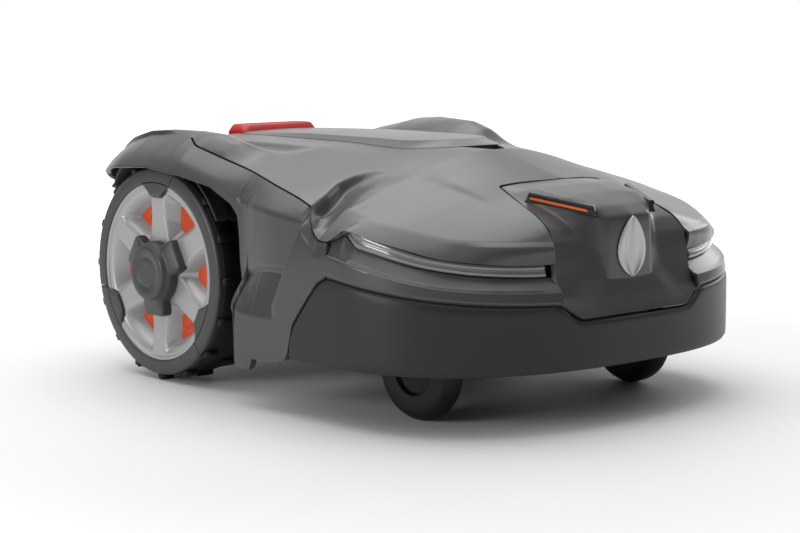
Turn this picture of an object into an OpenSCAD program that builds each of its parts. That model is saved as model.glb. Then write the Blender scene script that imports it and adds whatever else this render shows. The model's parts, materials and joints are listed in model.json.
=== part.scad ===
// Robotic lawn mower. The floating shell, the sealed chassis, the cutting unit,
// the drive wheels and the swivel casters are separate sub-parts.
// Frame: +Z up, the front of the mower is -Y, and the origin lies on the ground
// under the middle of the outline.

/* [Shell] */
// Width over the lower edge of the shell
body_w = 450; // [446:1:454]
// Height of the fender crests
crest_z = 248; // [246:1:250]
// Height of the lower edge of the bumper
bumper_z = 53; // [51:1:55]
// Wall of the moulded panels
panel_t = 3; // [2.6:0.1:3.2]
// Width of the visible gap between two panels
seam_gap = 1; // [0.8:0.1:1.2]
// Half width of the hinged lid
lid_half = 61; // [58:1:62]

/* [Drive wheels] */
// Radius over the tread lugs
wheel_r = 108; // [106:0.5:109]
// Distance from the centre plane to the outer wheel face
wheel_face_x = 205; // [204:0.5:206]
// Width of the tyre
tyre_w = 52; // [48:1:53]
// Height of a tread lug
lug_h = 5; // [3:0.5:6]
// Number of lugs on each edge of the tyre
lug_count = 16; // [14:2:20]
// Number of spokes in the wheel disc
spoke_count = 6; // [6:6:6]

/* [Casters] */
// Radius of a caster wheel
caster_r = 46.4; // [45:0.2:47]
// Width of a caster wheel
caster_w = 26; // [24:1:28]
// Distance from the centre plane to a caster
caster_x = 140; // [138:1:142]
// Distance from the swivel axis back to the caster axle
caster_trail = 15; // [12:1:16]

/* [Cutting unit] */
// Radius of the blade disc
disc_r = 92; // [88:1:95]
// Number of pivoting blades
blade_count = 3; // [3:1:3]
// Free length of a blade
blade_l = 34; // [30:1:36]
// Travel of the cutting height
height_travel = 30; // [20:1:30]

/* [Clearances] */
// Radial running clearance of shafts and pins
run_fit = 0.05; // [0.03:0.01:0.08]

/* [Hidden] */

$fn = 64;

// Plan outline of the shell: a superellipse round the front, straight flanks and a rounded tail
prow_y = -123;
prow_reach = 167;
prow_lean = 0.25;
prow_power = 2.5;
band_z = 110;
flank_curl = 30;
shoulder_lean = 1.3;
tail_y = 205;
tail_r = 85;
tail_power = 1.6;
core_x = 140;
flank_step = 100;
end_y = tail_y + tail_r;
split_y = 126;

// Centres that several sub-parts share
axle_y = 160;
disc_y = 20;
screw_y = 75;
rod_x = 58;
swivel_y = -171;
caster_axle_y = swivel_y + caster_trail;
hinge_y = 204;
hinge_z = 232;
hinge_r = 3.4;
pin_r = 2;
panel_y = 20;
panel_top_z = 214;
key_y = -22;
knob_r = 17;

// Levels of the chassis
tray_z = 66;
tray_top_z = 144.5;
gasket_t = 1.5;
deck_t = 3;
deck_z = tray_top_z + gasket_t;
wall_t = 3;
boot_h = 16;
carrier_z = deck_z + deck_t + boot_h + 0.5;
carrier_t = 6;
frame_z = carrier_z + carrier_t + 0.5;
frame_t = 6;
post_r = 5;
post_x = 110;
post_ys = [-76, 236];
screw_x = 122;
screw_ys = [-30, 254];

// Levels of the cutting unit at its lowest setting
disc_z = 24;
disc_t = 4;
blade_t = 1;
blade_z = disc_z - 0.5 - blade_t;
blade_pivot_r = disc_r - 12;
motor_z = disc_z + disc_t + 6;
motor_r = 34;
motor_h = 56;
flange_z = 76;
screw_r = 4;
axle_r = 5;
caster_pin_r = 4;
stem_r = 6;

// Colours
shell_grey = [0.27, 0.27, 0.28];
dark_grey = [0.13, 0.13, 0.135];
black = [0.05, 0.05, 0.055];
silver = [0.75, 0.76, 0.77];
orange = [0.85, 0.25, 0.05];
red = [0.78, 0.08, 0.07];

// ---------------------------------------------------------------- design curves

function flank(z) = body_w / 2 - flank_curl * pow(max(z - band_z, 0) / (crest_z - band_z), 3);
// The side stands nearly upright below the shoulder and leans inwards above it
function shoulder_z(y) = lookup(y, [[-130, 174], [-77, 178], [-24, 184], [12, 187], [41, 194],
    [60, 200], [102, 208], [160, 213], [215, 210], [250, 203], [end_y, 190]]);
function side(y, z) = flank(min(z, shoulder_z(y))) - shoulder_lean * max(z - shoulder_z(y), 0);
function prow(z) = prow_reach - prow_lean * max(z - band_z, 0);
function tail_x(y, z) = y < tail_y ? side(y, z)
    : core_x + (side(y, z) - core_x) * sqrt(max(1 - pow((y - tail_y) / tail_r, tail_power), 0));

// Point of the outline: |c| below 1 runs round the prow, above 1 it runs back along a flank
function flank_y(c) = prow_y + flank_step * (abs(c) - 1);
function rim(c, z, inset = 0) = abs(c) <= 1
    ? [sign(c) * (flank(z) - inset) * pow(sin(90 * abs(c)), 2 / prow_power),
       prow_y - (prow(z) - inset) * pow(cos(90 * abs(c)), 2 / prow_power), z]
    : [sign(c) * (tail_x(flank_y(c), z) - inset), flank_y(c), z];
function rim_y(c) = rim(c, band_z)[1];
function half_width(y, z) = y > prow_y ? tail_x(y, z)
    : flank(z) * pow(max(1 - pow((prow_y - y) / prow(z), prow_power), 0), 1 / prow_power);
function prow_line(x, z) = prow_y - prow(z) * pow(1 - pow(abs(x) / flank(z), prow_power), 1 / prow_power);

// Heights against Y: spine, crest, panel seams, arch, light shelf and lips
function spine_z(y) = lookup(y, [[-275, 188], [-240, 203], [-191, 211], [-110, 235], [-60, 238],
    [212, 237], [240, 231], [270, 214], [end_y, 190]]);
function crest_top(y) = lookup(y, [[-240, 165], [-222, 168], [-203, 176], [-165, 188],
    [-139, 193], [-85, 201], [-30, 211], [21, 220], [52, 228], [75, 240], [100, crest_z - 1],
    [127, crest_z], [160, crest_z], [194, 243], [230, 232], [251, 223], [266, 216], [281, 206], [end_y, 196]]);
function seam_z(y) = lookup(y, [[-274, 146], [-240, 151], [-191, 163], [-158, 171], [-130, 167],
    [-109, 163], [-95, 172], [-82, 191], [-43, 200], [0, 209], [48, 219], [90, 230], [127, 243]]);
function brow_z(y) = lookup(y, [[-272, 166], [-252, 169], [-227, 173], [-194, 185],
    [-165, 193], [-142, 198]]);
function bumper_top(x, y) = y > prow_y
    ? lookup(y, [[-123, 132], [-109, 124], [-98, 110], [-84, 93], [-77, 84], [-71, 62]])
    : (abs(x) < 74 ? 97 : abs(x) < 92 ? 97 + (abs(x) - 74) * 0.75
       : 111 + (y + end_y) * 0.127);
function skirt_z(y) = lookup(y, [[-69, 53], [-54, 48], [-18, 47], [-14, 37], [16, 37], [19, 42],
    [22, 90], [23, 160], [28, 176], [42, 189], [62, 198], [102, 208], [160, 213], [215, 210],
    [end_y, 192]]);
function shelf_z(y) = lookup(y, [[-278, 124], [-253, 127], [-232, 130], [-203, 136],
    [-165, 145], [-124, 152]]);
function lens_z(y) = lookup(y, [[-270, 135], [-245, 139], [-216, 145], [-178, 154], [-145, 160]]);

// Roof height: blends from the spine to the crest, then rolls over to the edge height
function blend(t) = t * t * (3 - 2 * t);
function roof_z(x, y, half, edge_z) =
    let (a = abs(x), crest_x = 0.86 * half)
    a < crest_x ? spine_z(y) + (crest_top(y) - spine_z(y)) * blend(a / crest_x)
    : crest_top(y) - (crest_top(y) - edge_z) * pow((a - crest_x) / max(half - crest_x, 1), 2);

// ---------------------------------------------------------------- sheet builder

function unit(v) = v / max(norm(v), 0.000001);
function grid_at(g, i, j) = g[min(max(i, 0), len(g) - 1)][min(max(j, 0), len(g[0]) - 1)];
function grid_normal(g, i, j) = unit(cross(grid_at(g, i, j + 1) - grid_at(g, i, j - 1),
                                           grid_at(g, i + 1, j) - grid_at(g, i - 1, j)));

// A panel of even thickness under a grid of points; columns cross rows point outwards
module sheet(g, t = panel_t) {
    rows = len(g);
    cols = len(g[0]);
    n = rows * cols;
    outer = [for (i = [0 : rows - 1]) for (j = [0 : cols - 1]) g[i][j]];
    inner = [for (i = [0 : rows - 1]) for (j = [0 : cols - 1]) g[i][j] - t * grid_normal(g, i, j)];
    skin = [for (i = [0 : rows - 2]) for (j = [0 : cols - 2])
        let (a = i * cols + j, b = a + cols)
        each [[a, b, b + 1], [a, b + 1, a + 1], [n + a, n + b + 1, n + b], [n + a, n + a + 1, n + b + 1]]];
    rims = concat(
        [for (j = [0 : cols - 2]) each edge_faces(j, j + 1, n)],
        [for (j = [0 : cols - 2]) each edge_faces(n - cols + j + 1, n - cols + j, n)],
        [for (i = [0 : rows - 2]) each edge_faces((i + 1) * cols, i * cols, n)],
        [for (i = [0 : rows - 2]) each edge_faces((i + 1) * cols - 1, (i + 2) * cols - 1, n)]);
    polyhedron(concat(outer, inner), concat(skin, rims));
}
function edge_faces(a, b, n) = [[a, b, n + b], [a, n + b, n + a]];

// Rows of outline points between two edges whose heights depend on the place
function wall_grid(cs, low, high, steps) = [for (k = [0 : steps]) [for (c = cs)
    let (p = rim(c, band_z), z0 = low(p), z1 = high(p)) rim(c, z0 + (z1 - z0) * k / steps)]];

// ---------------------------------------------------------------- plain helpers

module both_sides() {
    children();
    mirror([1, 0, 0]) children();
}

module rounded_square(w, l, r) {
    square([w - 2 * r, l], center = true);
    square([w, l - 2 * r], center = true);
    for (x = [-1, 1], y = [-1, 1]) translate([x * (w / 2 - r), y * (l / 2 - r)]) circle(r);
}

module x_rod(x0, x1, y, z, r) {
    translate([x0, y, z]) rotate([0, 90, 0]) cylinder(h = x1 - x0, r = r);
}

module frame_ring(half, y0, y1, bar, t) {
    translate([0, (y0 + y1) / 2]) linear_extrude(t) difference() {
        rounded_square(2 * half, y1 - y0, 10);
        rounded_square(2 * (half - bar), y1 - y0 - 2 * bar, 6);
    }
}

// ---------------------------------------------------------------- shell

// Lid outline: straight flanks, a square rear edge and an elliptical front
lid_rear_y = 207;
lid_gap_y = 212.5;
lid_bow_y = -22;
lid_bow = 66;
mouth_depth = 22;
module lid_outline(grow = 0) {
    translate([-lid_half - grow, lid_bow_y])
        square([2 * (lid_half + grow), lid_rear_y + grow - lid_bow_y]);
    intersection() {
        translate([0, lid_bow_y]) polygon([for (k = [0 : 40])
            [(lid_half + grow) * cos(180 + 4.5 * k), (lid_bow + grow) * sin(180 + 4.5 * k)]]);
        translate([-lid_half - grow, lid_bow_y - 2 * lid_bow])
            square([2 * (lid_half + grow), 2 * lid_bow]);
    }
}

function lid_crown(x, y) = spine_z(y) + 1 + 10 * (1 - pow(x / lid_half, 2))
    * (1 - pow(abs(y - 70) / 180, 2));

nose_half = 88;
nose_y = -189;
roof_rows = [-268, -262, -254, -240, -222, -203, -184, -165, -150, -139, -130, -120, -109, -95,
             -82, -60, -43, -22, 0, 21, 40, 48, 64, 75, 90, 104, split_y - 2, split_y, 160, 194,
             212, 230, 251, 266, 278, end_y];
roof_cols = [for (k = [-9 : 9]) sin(10 * k)];
brow_inset = 18;
lip_inset = 8;
fender_drop = 14;
function roof_half(y) = y > split_y - 1 ? core_x - 1
    : half_width(y, seam_z(y)) - (y < prow_y ? brow_inset : 2);
function roof_edge(y) = y > split_y - 1 ? crest_top(y) - fender_drop
    : y < prow_y ? brow_z(y) : min(seam_z(y) + 8, crest_top(y) - 3);
fender_top_z = 230;
function roof_span(y) = y > split_y - 1 ? half_width(y, fender_top_z) : roof_half(y);

// One row of the roof across the shell, with its turned-down edge at each end
function roof_row(y) =
    let (h = roof_half(y), span = roof_span(y), edge = roof_edge(y), lip = seam_z(y) + seam_gap,
         end = y > split_y - 1 ? [h + 0.5, y, roof_z(h, y, span, edge) - 1]
             : [half_width(y, lip) - (y < prow_y ? lip_inset : 0), y, lip])
    concat([[-end[0], end[1], end[2]]],
           [for (u = roof_cols) [u * h, y, roof_z(u * h, y, span, edge)]],
           [end]);

module top_cover() {
    color(shell_grey) difference() {
        sheet([for (y = roof_rows) roof_row(y)]);
        translate([0, 0, 150]) linear_extrude(150) lid_outline(1.5);
        translate([-lid_half - 1.5, 150, 150]) cube([2 * lid_half + 3, lid_gap_y - 150, 150]);
        translate([0, lid_bow_y - lid_bow, 150]) linear_extrude(150)
            polygon([[-26, 4], [-14, -mouth_depth + 6], [0, -mouth_depth], [14, -mouth_depth + 6], [26, 4]]);
        translate([-52, lid_gap_y - 1, 150]) cube([104, 38.5, 150]);
        translate([0, 0, 100]) linear_extrude(200)
            polygon([[-nose_half - 1, -300], [-nose_half - 1, -250], [-82, nose_y], [82, nose_y],
                     [nose_half + 1, -250], [nose_half + 1, -300]]);
    }
}

flank_cs = [for (y = [-68, -60, -54, -43, -36, -18, -14, 0, 16, 19, 22, 23, 28, 42, 48, 62, 75, 90,
                      102, split_y - 4]) 1 + (y - prow_y) / flank_step];
function reversed(v) = [for (k = [len(v) - 1 : -1 : 0]) v[k]];
nose_c = 0.205;
lens_inset = 14;
knee_c = 0.213;
light_cs = concat([nose_c], [for (k = [0 : 12]) knee_c + (1.02 - knee_c) * k / 12]);
fender_rows = [split_y + 3, 145, 160, 177, 194, 212, 230, 244, 256, 266, 275, 282];

module flank_wall() {
    cs = concat([for (y = [-121, -109, -98, -95, -84, -82, -77]) 1 + (y - prow_y) / flank_step], flank_cs);
    sheet(wall_grid(cs,
        function(p) p[1] < -70 ? bumper_top(p[0], p[1] - 1.5) + seam_gap : skirt_z(p[1]),
        function(p) seam_z(p[1]), 6));
}

module front_band() {
    band = wall_grid(light_cs, function(p) bumper_top(p[0], p[1]) + seam_gap,
                     function(p) shelf_z(p[1]), 2);
    shelf = [for (c = light_cs) let (p = rim(c, band_z)) rim(c, lens_z(p[1]) - 1, lens_inset)];
    sheet(concat(band, [shelf]));
}

module rear_fender() {
    sheet([for (y = fender_rows)
        let (span = roof_span(y), edge = roof_edge(y), foot = min(skirt_z(y), edge - 3))
        concat([for (k = [0 : 8]) let (x = core_x + 0.5 + (span - core_x - 0.5) * sin(90 * k / 8))
                    [x, y, roof_z(x, y, span, edge)]],
               [for (z = [(foot + edge) / 2, foot]) [half_width(y, z) + 0.8, y, z]])]);
}

module tail_wall() {
    foot = 70;
    sheet([for (k = [0 : 4]) [for (x = [2 : -1 : -2])
        let (w = x * (core_x - 6) / 2, top = roof_z(w, end_y, roof_span(end_y), roof_edge(end_y)) - panel_t - seam_gap)
        [w, end_y - 0.05 * (4 - k) * (4 - k), foot + (top - foot) * k / 4]]]);
}

module body_shell() {
    color(shell_grey) {
        flank_wall();
        front_band();
        mirror([1, 0, 0]) {
            flank_wall();
            front_band();
            rear_fender();
        }
        rear_fender();
        tail_wall();
    }
}

module bumper() {
    back = [for (y = [-72, -77, -84, -98, -109]) 1 + (y - prow_y) / flank_step];
    front = [for (k = [0 : 16]) 1 - k * (1 - 0.25) / 16];
    half = concat(back, front, [knee_c, 0.16, 0.08]);
    cs = concat([for (c = half) -c], [0], reversed(half));
    color(dark_grey) sheet(wall_grid(cs, function(p) bumper_z, function(p) bumper_top(p[0], p[1]), 5));
}

// The nose column: each row lists X, Y and Z of its right half, from the middle outwards
function mirrored_row(half) = concat([for (p = reversed(half)) [-p[0], p[1], p[2]]], half);
function column_row(z, xs, setback) = [for (x = xs)
    [x, prow_line(x, z) + setback * (1 - x / nose_half), z]];
nose_rows = [
    [for (x = [18, 45, 73, nose_half]) let (z = bumper_top(x, -end_y) + seam_gap) [x, prow_line(x, z), z]],
    column_row(117, [18, 40, 62, nose_half], 9),
    [[18, -277, 150], [36, -270, 150], [60, -266, 150], [nose_half, -263, 150]],
    [[18, -277, 189], [36, -268, 189], [58, -248, 184], [84, -230, 178]],
    [[18, -232, 204], [36, -228, 203], [58, -216, 202], [81, -208, 200]],
    [[18, nose_y - 1, 210], [36, nose_y - 1, 209], [58, nose_y - 1, 208], [79, nose_y - 1, 206]]];

module nose_cover() {
    color(shell_grey) sheet([for (row = nose_rows) mirrored_row(row)]);
}

function lens_grid(cs) = [for (k = [0 : 2]) [for (c = cs)
    let (p = rim(c, band_z), z0 = lens_z(p[1]), z1 = seam_z(p[1]) - 0.5)
        rim(c, z0 + (z1 - z0) * k / 2, lens_inset + 1)]];

module headlight_lenses() {
    cs = [for (k = [0 : 12]) 0.24 + 0.7 * k / 12];
    color([0.8, 0.82, 0.84]) both_sides() sheet(lens_grid(cs), 2.5);
}

// The eyes sit along the upper edges of the nose and look forwards and outwards
eye_yaw = 63.4;
eye_rise = 10;
module eye_frame() {
    translate([40, -270, 187]) rotate([0, -eye_rise, eye_yaw]) children();
}

module eye_sensors() {
    color(black) both_sides() eye_frame() translate([0, -6.5, -4]) cube([62, 5, 10]);
}

module eye_reflectors() {
    color(orange) both_sides() eye_frame() translate([14, -8, -2]) cube([44, 1.5, 2.6]);
}

// Pointed leaf: two arcs that cross at its tips
module leaf(w, h) {
    r = (w * w + h * h) / (2 * w);
    intersection() {
        translate([r - w, 0]) circle(r = r, $fn = 96);
        translate([w - r, 0]) circle(r = r, $fn = 96);
    }
}

module nose_emblem() {
    color(silver) translate([0, -278, 156]) rotate([90, 0, 0]) linear_extrude(2) difference() {
        leaf(17, 28);
        translate([-0.9, -22]) square([1.8, 34]);
    }
}

module cover_frame() {
    color(black) {
        difference() {
            union() {
                translate([0, 0, frame_z]) frame_ring(120, -88, 252, 20, frame_t);
                for (x = [-1, 1], y = post_ys) translate([x * post_x, y, frame_z])
                    cylinder(h = 18, r = 10);
                for (x = [-1, 1]) translate([x * 163 - 43, -14, frame_z]) cube([86, 24, frame_t]);
                for (x = [-1, 1]) translate([x * 56 - 2.5, hinge_y - hinge_r, frame_z])
                    cube([5, 2 * hinge_r, hinge_z - frame_z]);
                for (x = [-1, 1]) x_rod(x * 56 - 2.5, x * 56 + 2.5, hinge_y, hinge_z, hinge_r);
                translate([-59, 196, frame_z]) cube([118, 40, 4]);
            }
            for (x = [-1, 1], y = post_ys) translate([x * post_x, y, frame_z - 1])
                cylinder(h = 13, r = post_r + run_fit);
            x_rod(-60, 60, hinge_y, hinge_z, pin_r);
            translate([0, 226, frame_z - 1]) cylinder(h = 8, r = 6 + run_fit);
        }
    }
}

module lid() {
    color(shell_grey) {
        difference() {
            sheet([for (y = [-88 : 13 : 211]) [for (k = [-8 : 8])
                [k * (lid_half + 2) / 8, y, lid_crown(min(max(k * (lid_half + 2) / 8, -lid_half), lid_half), y)]]]);
            translate([0, 0, 150]) linear_extrude(150) difference() {
                square([400, 900], center = true);
                lid_outline(0);
            }
        }
        for (x = [-46, 46]) difference() {
            union() {
                x_rod(x - 4, x + 4, hinge_y, hinge_z, 4.5);
                translate([x - 4, hinge_y - 4.5, hinge_z]) cube([8, 9, 6]);
            }
            x_rod(x - 5, x + 5, hinge_y, hinge_z, pin_r + run_fit);
        }
    }
}

module lid_pin() {
    color(silver) x_rod(-58.5, 58.5, hinge_y, hinge_z, pin_r);
}

module stop_button() {
    color(red) {
        translate([0, 231.75, 226]) linear_extrude(12) rounded_square(100, 32.5, 8);
        translate([0, 231, 238]) linear_extrude(6) rounded_square(92, 22, 8);
        translate([0, 226, frame_z + 2]) cylinder(h = 226 - frame_z - 2, r = 6);
    }
}

// ---------------------------------------------------------------- float mounting

module float_carrier() {
    color(dark_grey) {
        translate([0, 0, carrier_z]) frame_ring(118, -86, 250, 16, carrier_t);
        for (x = [-1, 1], y = post_ys) translate([x * post_x, y, carrier_z + carrier_t])
            cylinder(h = 10, r = post_r);
    }
}

module float_boots() {
    color(black) for (x = [-1, 1], y = post_ys) translate([x * post_x, y, deck_z + deck_t])
        difference() {
            union() {
                cylinder(h = boot_h, r = 7);
                for (k = [0 : 3]) translate([0, 0, 1 + 4 * k]) cylinder(h = 2, r = 9);
            }
            translate([0, 0, 3]) cylinder(h = boot_h, r = 4);
        }
}

// ---------------------------------------------------------------- chassis

pod_half = 134;
pod_y0 = -92;
pod_y1 = 266;
bow_half = 68;
bow_y0 = -246;
ear_half = 166;
ear_y0 = -212;
ear_y1 = -130;
ear_z = 104;

module pod_plan(inset = 0) {
    translate([0, (pod_y0 + pod_y1) / 2])
        rounded_square(2 * (pod_half - inset), pod_y1 - pod_y0 - 2 * inset, 14 - inset);
    translate([0, (bow_y0 + pod_y0 + 30) / 2])
        rounded_square(2 * (bow_half - inset), pod_y0 + 30 - bow_y0 - 2 * inset, 12 - inset);
}

module ear_plan(inset = 0) {
    translate([0, (ear_y0 + ear_y1) / 2])
        rounded_square(2 * (ear_half - inset), ear_y1 - ear_y0 - 2 * inset, 20 - inset);
}

module chassis_tray() {
    color(black) difference() {
        union() {
            translate([0, 0, tray_z]) linear_extrude(tray_top_z - tray_z) pod_plan();
            translate([0, 0, ear_z]) linear_extrude(tray_top_z - ear_z) ear_plan();
        }
        difference() {
            union() {
                translate([0, 0, tray_z + wall_t]) linear_extrude(100) pod_plan(wall_t);
                translate([0, 0, ear_z + wall_t]) linear_extrude(100) ear_plan(wall_t);
            }
            both_sides() translate([caster_x, swivel_y, ear_z]) cylinder(h = 34, r = 12);
            for (x = [-1, 1], y = screw_ys) translate([x * screw_x, y, tray_z])
                cylinder(h = tray_top_z - tray_z, r = 6);
        }
        both_sides() translate([caster_x, swivel_y, ear_z - 1]) cylinder(h = 29, r = stem_r + run_fit);
        both_sides() x_rod(120, 150, axle_y, wheel_r, 9);
        translate([0, disc_y, tray_z - 1]) cylinder(h = 10, r = motor_r + 6);
        translate([0, 190, tray_z - 1]) linear_extrude(10) rounded_square(110, 110, 8);
        for (x = [-1, 1], y = screw_ys) translate([x * screw_x, y, 100]) cylinder(h = 60, r = 2);
    }
}

module chassis_deck() {
    color(dark_grey) difference() {
        union() {
            translate([0, 0, deck_z]) linear_extrude(deck_t) {
                pod_plan();
                ear_plan();
            }
        }
        for (x = [-1, 1], y = screw_ys) translate([x * screw_x, y, deck_z - 1]) cylinder(h = 20, r = 2.2);
    }
}

module deck_gasket() {
    color(black) translate([0, 0, tray_top_z]) linear_extrude(gasket_t) difference() {
        union() {
            pod_plan(0.5);
            ear_plan(0.5);
        }
        pod_plan(wall_t);
        ear_plan(wall_t);
    }
}

module battery_pack() {
    cell_count = 5;
    cell_r = 10.5;
    pitch = 24;
    color([0.2, 0.22, 0.3]) difference() {
        translate([-62, 140, 72]) cube([124, 100, 28]);
        for (k = [0 : cell_count - 1]) translate([pitch * (k - 2), 144, 86]) rotate([-90, 0, 0])
            cylinder(h = 92, r = cell_r + 0.3);
    }
    color([0.55, 0.6, 0.65]) for (k = [0 : cell_count - 1])
        translate([pitch * (k - 2), 148, 86]) rotate([-90, 0, 0]) cylinder(h = 84, r = cell_r);
}

module battery_hatch() {
    color(dark_grey) {
        translate([0, 190, tray_z]) linear_extrude(wall_t) rounded_square(109, 109, 7.6);
        for (k = [-2 : 2]) translate([16 * k - 2, 150, tray_z - 2]) cube([4, 80, 2]);
    }
}

module main_board() {
    color([0.05, 0.35, 0.15]) {
        translate([-60, -228, 112]) cube([120, 120, 1.6]);
        for (x = [-40, 0, 36]) translate([x - 10, -190, 113.6]) cube([20, 24, 6]);
        for (k = [0 : 3]) translate([-42 + 28 * k, -140, 113.6]) cylinder(h = 14, r = 6);
        for (x = [-54, 54], y = [-222, -114]) translate([x, y, tray_z + wall_t])
            cylinder(h = 112 - tray_z - wall_t, r = 3);
    }
}

module drive_motor() {
    color([0.35, 0.35, 0.37]) difference() {
        union() {
            x_rod(66, 104, axle_y, wheel_r, 24);
            x_rod(104, pod_half - wall_t, axle_y, wheel_r, 30);
            for (k = [0 : 2]) rotate_about_axle(120 * k) translate([104, -4, 26])
                cube([pod_half - wall_t - 104, 8, 8]);
        }
        x_rod(112, 140, axle_y, wheel_r, axle_r + run_fit);
    }
}
module rotate_about_axle(a) {
    translate([0, axle_y, wheel_r]) rotate([a, 0, 0]) children();
}
module drive_motor_right() { mirror([1, 0, 0]) drive_motor(); }
module drive_motor_left() { drive_motor(); }

module control_panel() {
    color(dark_grey) difference() {
        translate([0, panel_y, deck_z + deck_t]) linear_extrude(panel_top_z - deck_z - deck_t)
            rounded_square(108, 150, 14);
        translate([0, panel_y, deck_z + deck_t - 1]) linear_extrude(panel_top_z - deck_z - deck_t - 3)
            rounded_square(102, 144, 11);
        translate([0, 56, panel_top_z - 2]) linear_extrude(10) rounded_square(82, 52, 4);
        translate([0, key_y, panel_top_z - 20]) cylinder(h = 40, r = 3 + run_fit);
        for (x = [-36, 36]) translate([x, key_y, panel_top_z - 20]) cylinder(h = 40, r = 9.4);
    }
}

module display_window() {
    color([0.03, 0.04, 0.05]) translate([0, 56, panel_top_z - 2]) linear_extrude(2.5)
        rounded_square(81, 51, 3.6);
}

module round_key(x) {
    translate([x, key_y, panel_top_z - 12]) cylinder(h = 15, r = 9);
}
module power_button() { color(red) round_key(-36); }
module start_button() { color([0.1, 0.5, 0.2]) round_key(36); }

module jog_knob() {
    color(orange) {
        translate([0, key_y, panel_top_z + 0.4]) cylinder(h = 11, r = knob_r);
        for (k = [0 : 11]) translate([0, key_y, panel_top_z + 0.4]) rotate(30 * k)
            translate([knob_r - 0.5, -1.5, 1]) cube([1.5, 3, 8]);
        translate([0, key_y, panel_top_z - 12]) cylinder(h = 12.4, r = 3);
    }
}

module charge_contacts() {
    color([0.8, 0.6, 0.3]) for (x = [-28, 28]) translate([x, -226, tray_z - 3]) linear_extrude(3)
        rounded_square(26, 30, 4);
}

module chassis_screws() {
    color(silver) for (x = [-1, 1], y = screw_ys) translate([x * screw_x, y, deck_z + deck_t]) {
        cylinder(h = 3, r = 4);
        translate([0, 0, -30]) cylinder(h = 30, r = 2);
    }
}

module height_motor() {
    color([0.35, 0.35, 0.37]) {
        translate([0, screw_y, 124]) cylinder(h = tray_top_z + gasket_t - 124, r = 14);
        translate([-7, screw_y + 8, 126]) cube([14, 22, 16]);
    }
}

module guide_rods() {
    color(silver) for (x = [-1, 1]) translate([x * rod_x, disc_y, tray_z + wall_t])
        cylinder(h = deck_z - tray_z - wall_t, r = 4);
}

// ---------------------------------------------------------------- cutting unit

module motor_carrier() {
    color(dark_grey) difference() {
        union() {
            translate([0, disc_y, flange_z]) cylinder(h = 20, r = motor_r + 3);
            translate([-rod_x, disc_y - 10, flange_z]) cube([2 * rod_x, 20, 6]);
            for (x = [-1, 1]) translate([x * rod_x, disc_y, flange_z]) cylinder(h = 16, r = 9);
            translate([-9, disc_y, flange_z]) cube([18, screw_y - disc_y, 6]);
            translate([0, screw_y, flange_z]) cylinder(h = 10, r = 9);
        }
        translate([0, disc_y, flange_z - 1]) cylinder(h = 30, r = motor_r);
        for (x = [-1, 1]) translate([x * rod_x, disc_y, flange_z - 1]) cylinder(h = 30, r = 4 + run_fit);
        translate([0, screw_y, flange_z - 1]) cylinder(h = 30, r = screw_r + run_fit);
    }
}

module cutting_motor() {
    color([0.4, 0.4, 0.42]) difference() {
        union() {
            translate([0, disc_y, motor_z]) cylinder(h = motor_h, r = motor_r);
            translate([0, disc_y, motor_z - 4]) cylinder(h = 4, r = 16);
        }
        translate([0, disc_y, motor_z - 5]) cylinder(h = 26, r = 4 + run_fit);
    }
}

module height_screw() {
    color(silver) {
        translate([0, screw_y, tray_z + wall_t + 0.5]) cylinder(h = 124 - 0.4 - tray_z - wall_t - 0.5, r = screw_r);
    }
}

module blade_disc() {
    color(dark_grey) difference() {
        union() {
            translate([0, disc_y, disc_z]) cylinder(h = disc_t, r = disc_r);
            translate([0, disc_y, disc_z + disc_t]) cylinder(h = 1.6, r = 20);
            translate([0, disc_y, disc_z + disc_t]) cylinder(h = 24, r = 4);
            translate([0, disc_y, 12]) cylinder(h = 12, r = 8);
        }
        for (k = [0 : 5]) translate([0, disc_y, disc_z - 1]) rotate(60 * k + 30)
            translate([48, 0]) cylinder(h = 10, r = 12);
        for (k = [0 : blade_count - 1]) blade_place(k) translate([0, 0, disc_z - 1]) cylinder(h = 10, r = 2);
    }
}

module blade_place(k) {
    translate([0, disc_y, 0]) rotate(360 / blade_count * k - 90)
        translate([blade_pivot_r, 0, 0]) children();
}

module blade_screws() {
    color(silver) for (k = [0 : blade_count - 1]) blade_place(k) {
        translate([0, 0, blade_z - 3]) cylinder(h = 2.6, r = 5);
        translate([0, 0, blade_z - 0.4]) cylinder(h = disc_z + disc_t - blade_z + 0.4, r = 2);
    }
}

module blade(k) {
    color(silver) blade_place(k) translate([0, 0, blade_z]) linear_extrude(blade_t) difference() {
        translate([blade_l / 2 - 5, 0]) rounded_square(blade_l, 18, 2);
        circle(r = 2 + run_fit);
    }
}
module blade_1() { blade(0); }
module blade_2() { blade(1); }
module blade_3() { blade(2); }

module skid_plate() {
    color(black) difference() {
        union() {
            translate([0, disc_y, 12.5]) cylinder(h = 3, r = 62);
            translate([0, disc_y, 15.5]) cylinder(h = 5, r = 13);
        }
        translate([0, disc_y, 10]) cylinder(h = 30, r = 8 + run_fit);
    }
}

// ---------------------------------------------------------------- drive wheels

ring_r = wheel_r - 6;
ring_t = 5;
carcass_t = 9;
lug_w = 6;
lug_l = 16;
disc_edge_r = 0.853 * ring_r;

module on_wheel(side) {
    mirror([side < 0 ? 1 : 0, 0, 0]) translate([wheel_face_x, axle_y, wheel_r]) rotate([0, -90, 0])
        rotate(90) children();
}

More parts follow.
